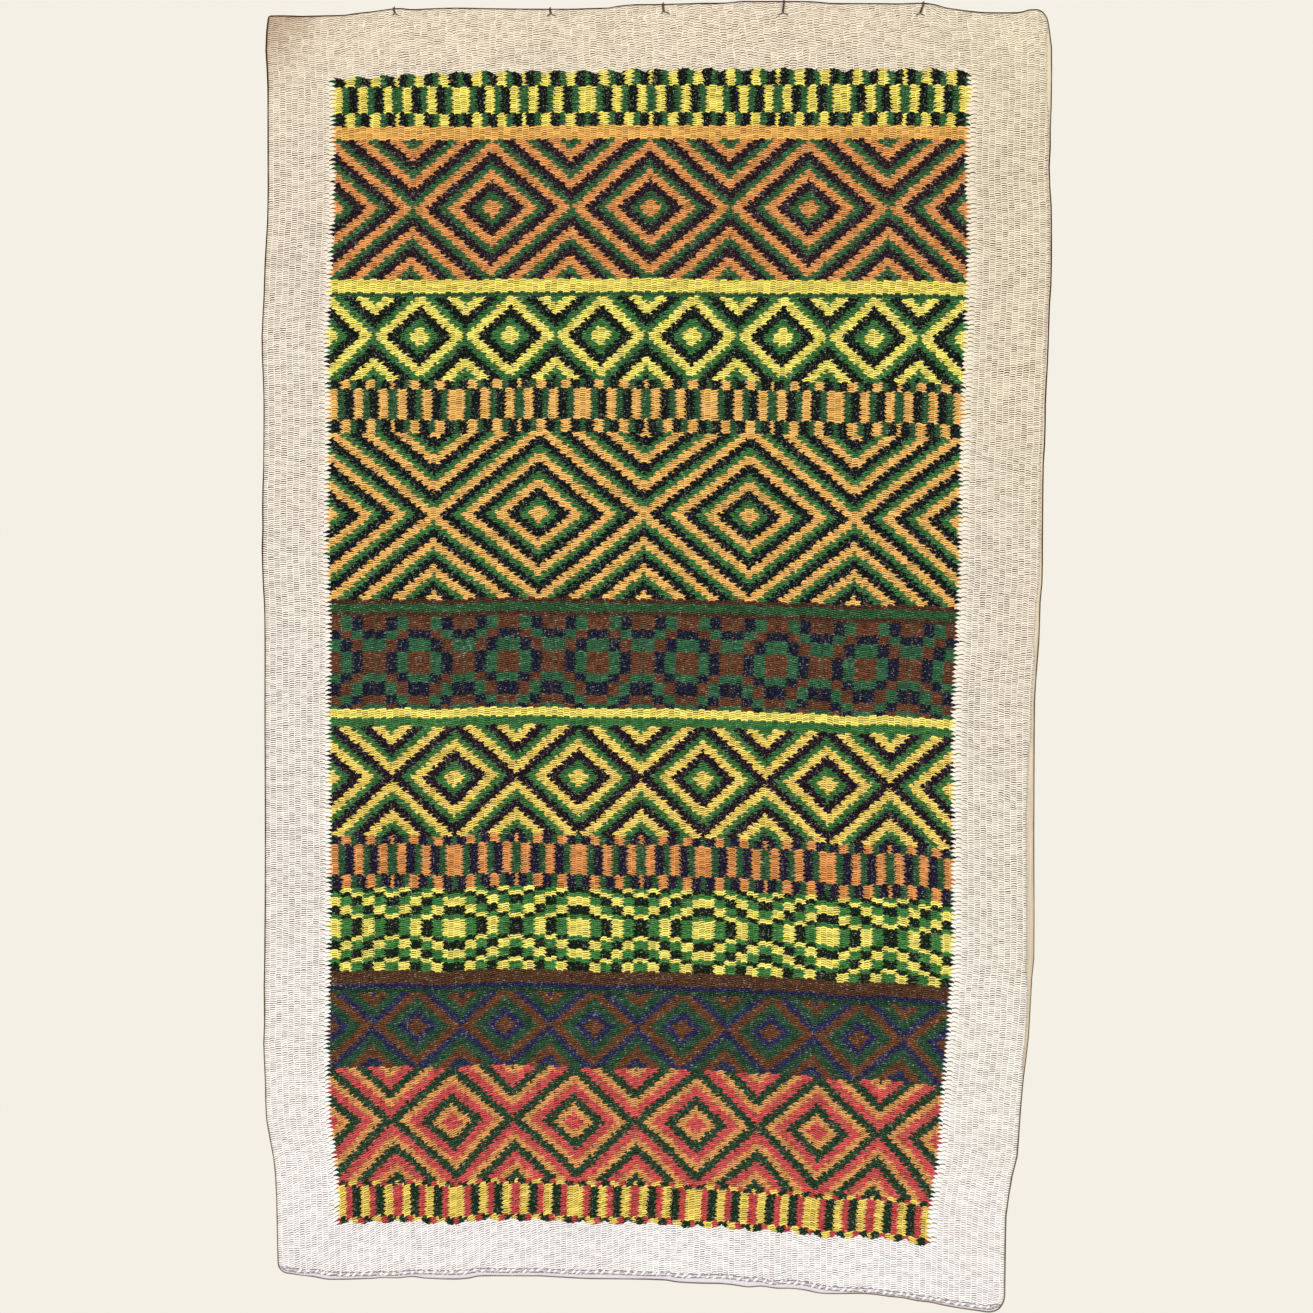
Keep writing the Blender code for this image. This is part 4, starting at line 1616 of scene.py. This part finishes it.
@dataclass
class SewnTie:
    """One thread sewn twice over the top edge, of two plies laid together.

    Sizes are millimetres.
    """

    place: TiePlace
    strand_pitch: float = 0.95
    lift: float = 0.62
    fork_rise: float = 1.3
    second_lift: float = 1.1
    rim_steps: int = 8
    samples: int = 260
    ply_radius: float = 0.21
    ply_offset: float = 0.17
    ply_turn: float = 2.4
    along_x: float = 0.9
    smoothing: int = 6

    def holes(self) -> tuple[tuple[float, float], tuple[float, float]]:
        """Return the places of the left and right holes.

        Returns:
            Place across and height of each hole, in millimetres.
        """
        z = FORM.rim_z(self.place.rim_x) - self.place.drop
        left = self.place.foot_x + self.place.left_hole
        right = self.place.foot_x + self.place.right_hole
        return (left, z), (right, z)

    def reach(self) -> float:
        """Return how far the thread's middle lies from the middle of the cloth."""
        return FORM.thickness / 2.0 + self.lift

    def wrap(self, start: tuple[float, float], end: tuple[float, float],
             side: int, stand_off: float) -> list[Vector]:
        """Lay one turn of the thread.

        Args:
            start: Hole that the turn comes out of.
            end: Hole that it goes back into.
            side: -1 for the left strand and 1 for the right one.
            stand_off: Lift of the turn behind the cloth.

        Returns:
            Points along the turn, in millimetres.
        """
        offset = side * self.strand_pitch / 2.0
        fork_x = self.place.foot_x + offset
        fork_z = start[1] + self.fork_rise
        front = [
            Vector((start[0], FORM.depth(*start) - self.reach(), start[1])),
            Vector((fork_x, FORM.depth(fork_x, fork_z) - self.reach(), fork_z)),
        ]
        rim_x = self.place.rim_x + offset
        centre_z = FORM.rim_z(rim_x) - FORM.thickness / 2.0
        centre_y = FORM.depth(rim_x, centre_z)
        over = []
        for step in range(self.rim_steps + 1):
            turned = step / self.rim_steps
            radius = self.reach() + stand_off * ease(turned)
            y = centre_y - radius * math.cos(math.pi * turned)
            z = centre_z + radius * math.sin(math.pi * turned)
            over.append(Vector((rim_x, y, z)))
        back = Vector((end[0], FORM.depth(*end) + self.reach(), end[1]))
        return [*front, *over, back]

    def route(self) -> list[Vector]:
        """Return the thread's closed route, evenly sampled, in millimetres.

        Returns:
            Points in order along the route.
        """
        left, right = self.holes()
        corners = self.wrap(left, right, -1, 0.0)
        corners += self.wrap(right, left, 1, self.second_lift)
        closed = [*corners, corners[0]]
        lengths = [0.0]
        for low, high in zip(closed, closed[1:]):
            lengths.append(lengths[-1] + (high - low).length)
        points = []
        index = 0
        for sample in range(self.samples):
            run = lengths[-1] * sample / self.samples
            while lengths[index + 1] < run:
                index += 1
            share = (run - lengths[index]) / (lengths[index + 1] - lengths[index])
            points.append(closed[index].lerp(closed[index + 1], share))
        for _ in range(self.smoothing):
            points = [
                (points[i - 1] + points[i] * 2.0 + points[(i + 1) % len(points)]) / 4.0
                for i in range(len(points))
            ]
        return points

    def ply(self, route: list[Vector], phase: float) -> bpy.types.Object:
        """Lay one ply round the thread's route.

        Args:
            route: Closed route, in millimetres.
            phase: Turn at which the ply starts, in radians.

        Returns:
            The ply, as a mesh.
        """
        count = len(route)
        curve = bpy.data.curves.new(f"{self.place.name}_ply", "CURVE")
        curve.dimensions = "3D"
        curve.bevel_depth = self.ply_radius * MM
        curve.bevel_resolution = 1
        spline = curve.splines.new("POLY")
        spline.points.add(count - 1)
        spline.use_cyclic_u = True
        length = sum((route[i] - route[i - 1]).length for i in range(count))
        turns = round(length / self.ply_turn)
        for index, spot in enumerate(route):
            along = (route[(index + 1) % count] - route[index - 1]).normalized()
            side = along.cross(Vector((1, 0, 0)))
            level = abs(along.x) > self.along_x
            aside = (along.orthogonal() if level else side).normalized()
            upward = along.cross(aside)
            angle = phase + 2.0 * math.pi * turns * index / count
            spot = spot + self.ply_offset * (
                aside * math.cos(angle) + upward * math.sin(angle))
            spline.points[index].co = (*(spot * MM), 1.0)
        piece = bpy.data.objects.new(curve.name, curve)
        bpy.context.collection.objects.link(piece)
        return piece

    def build(self, finish: bpy.types.Material) -> bpy.types.Object:
        """Return the thread, its two plies joined, riding in the model.

        Args:
            finish: Material of the thread.

        Returns:
            The thread's object.
        """
        route = self.route()
        deselect()
        plies = [self.ply(route, 0.0), self.ply(route, math.pi)]
        for piece in plies:
            piece.select_set(True)
        bpy.context.view_layer.objects.active = plies[0]
        bpy.ops.object.convert(target="MESH")
        bpy.ops.object.join()
        thread = bpy.context.active_object
        thread.name = f"{self.place.name}_thread"
        bpy.ops.object.shade_smooth()
        thread.data.materials.clear()
        thread.data.materials.append(finish)
        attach(thread, BODY)
        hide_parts(self.place.name)
        return thread


@dataclass(frozen=True)
class Lamp:
    """Soft square lamp: its place and width in metres and its power in watts."""

    name: str
    place: tuple[float, float, float]
    width: float
    power: float


@dataclass
class Studio:
    """Plain floor, soft lights and the camera, straight in front of the face.

    Sizes are metres, and the sensor is in millimetres.
    """

    frame_pixels: float = 1313.0
    pixel: float = 0.00079
    middle_x: float = -0.002
    middle_z: float = -0.5155
    distance: float = 3.2
    sensor: float = 36.0
    floor_z: float = -1.36
    floor_radius: float = 1.6
    floor_sides: int = 96
    floor_roughness: float = 0.9
    far_clip: float = 20.0
    sky: float = 0.45
    paper: str = "f4f0e5"
    lamps: tuple[Lamp, ...] = (
        Lamp("key", (-1.6, -2.6, 1.0), 1.6, 69.2),
        Lamp("fill", (1.8, -2.6, -0.9), 2.0, 43.6),
        Lamp("back", (0.4, 2.6, 0.8), 2.0, 40.0),
    )

    def camera(self) -> None:
        """Aim the camera straight at the face."""
        deselect()
        bpy.ops.object.camera_add(
            location=(self.middle_x, -self.distance, self.middle_z),
            rotation=(math.pi / 2.0, 0.0, 0.0))
        camera = bpy.context.active_object
        camera.data.sensor_width = self.sensor
        wide = self.frame_pixels * self.pixel
        camera.data.lens = self.sensor * self.distance / wide
        camera.data.clip_end = self.far_clip
        bpy.context.scene.camera = camera

    def hang(self, lamp: Lamp) -> None:
        """Hang a lamp that faces the middle of the cloth.

        Args:
            lamp: Its place, width and power.
        """
        aim = Vector((self.middle_x, 0.0, self.middle_z)) - Vector(lamp.place)
        deselect()
        bpy.ops.object.light_add(
            type="AREA", location=lamp.place,
            rotation=aim.to_track_quat("-Z", "Y").to_euler())
        light = bpy.context.active_object
        light.name = lamp.name
        light.data.size = lamp.width
        light.data.energy = lamp.power

    def lights(self) -> None:
        """Set the sky and the lamps."""
        world = bpy.data.worlds.new("studio")
        world.use_nodes = True
        bpy.context.scene.world = world
        tree = world.node_tree
        seen = tree.nodes["Background"]
        seen.inputs["Color"].default_value = linear(self.paper)
        fill = tree.nodes.new("ShaderNodeBackground")
        fill.inputs["Color"].default_value = (1.0, 1.0, 1.0, 1.0)
        fill.inputs["Strength"].default_value = self.sky
        rays = tree.nodes.new("ShaderNodeLightPath")
        mix = tree.nodes.new("ShaderNodeMixShader")
        tree.links.new(rays.outputs["Is Camera Ray"], mix.inputs[0])
        tree.links.new(fill.outputs[0], mix.inputs[1])
        tree.links.new(seen.outputs[0], mix.inputs[2])
        tree.links.new(mix.outputs[0], tree.nodes["World Output"].inputs[0])
        for lamp in self.lamps:
            self.hang(lamp)

    def floor(self) -> None:
        """Lay the floor, below the view."""
        deselect()
        bpy.ops.mesh.primitive_circle_add(
            vertices=self.floor_sides, radius=self.floor_radius, fill_type="NGON",
            location=(0.0, 0.0, self.floor_z))
        floor = bpy.context.active_object
        floor.name = "studio_floor"
        sketch = Sketch("floor_paper")
        sketch.shader.inputs["Base Color"].default_value = linear(self.paper)
        sketch.shader.inputs["Roughness"].default_value = self.floor_roughness
        floor.data.materials.append(sketch.material)

    def build(self) -> None:
        """Set up floor, lights and camera."""
        bpy.context.scene.view_settings.view_transform = "Standard"
        self.floor()
        self.lights()
        self.camera()


def main() -> None:
    """Build the hanging and its studio, in order."""
    logging.basicConfig(level=logging.INFO, format="%(message)s")
    Studio().build()
    log.info("studio ready")
    web = WovenCloth()
    cloth = web.build()
    web.dress(cloth, WovenWool().make())
    log.info("%s: %d faces", cloth.name, len(cloth.data.polygons))
    stitches = HemStitches().build(STITCH_YARN.make())
    log.info("%s: %d faces", stitches.name, len(stitches.data.polygons))
    thread = TIE_YARN.make()
    for place in TIES:
        tie = SewnTie(place).build(thread)
        log.info("%s: %d faces", tie.name, len(tie.data.polygons))


if __name__ == "__main__":
    main()
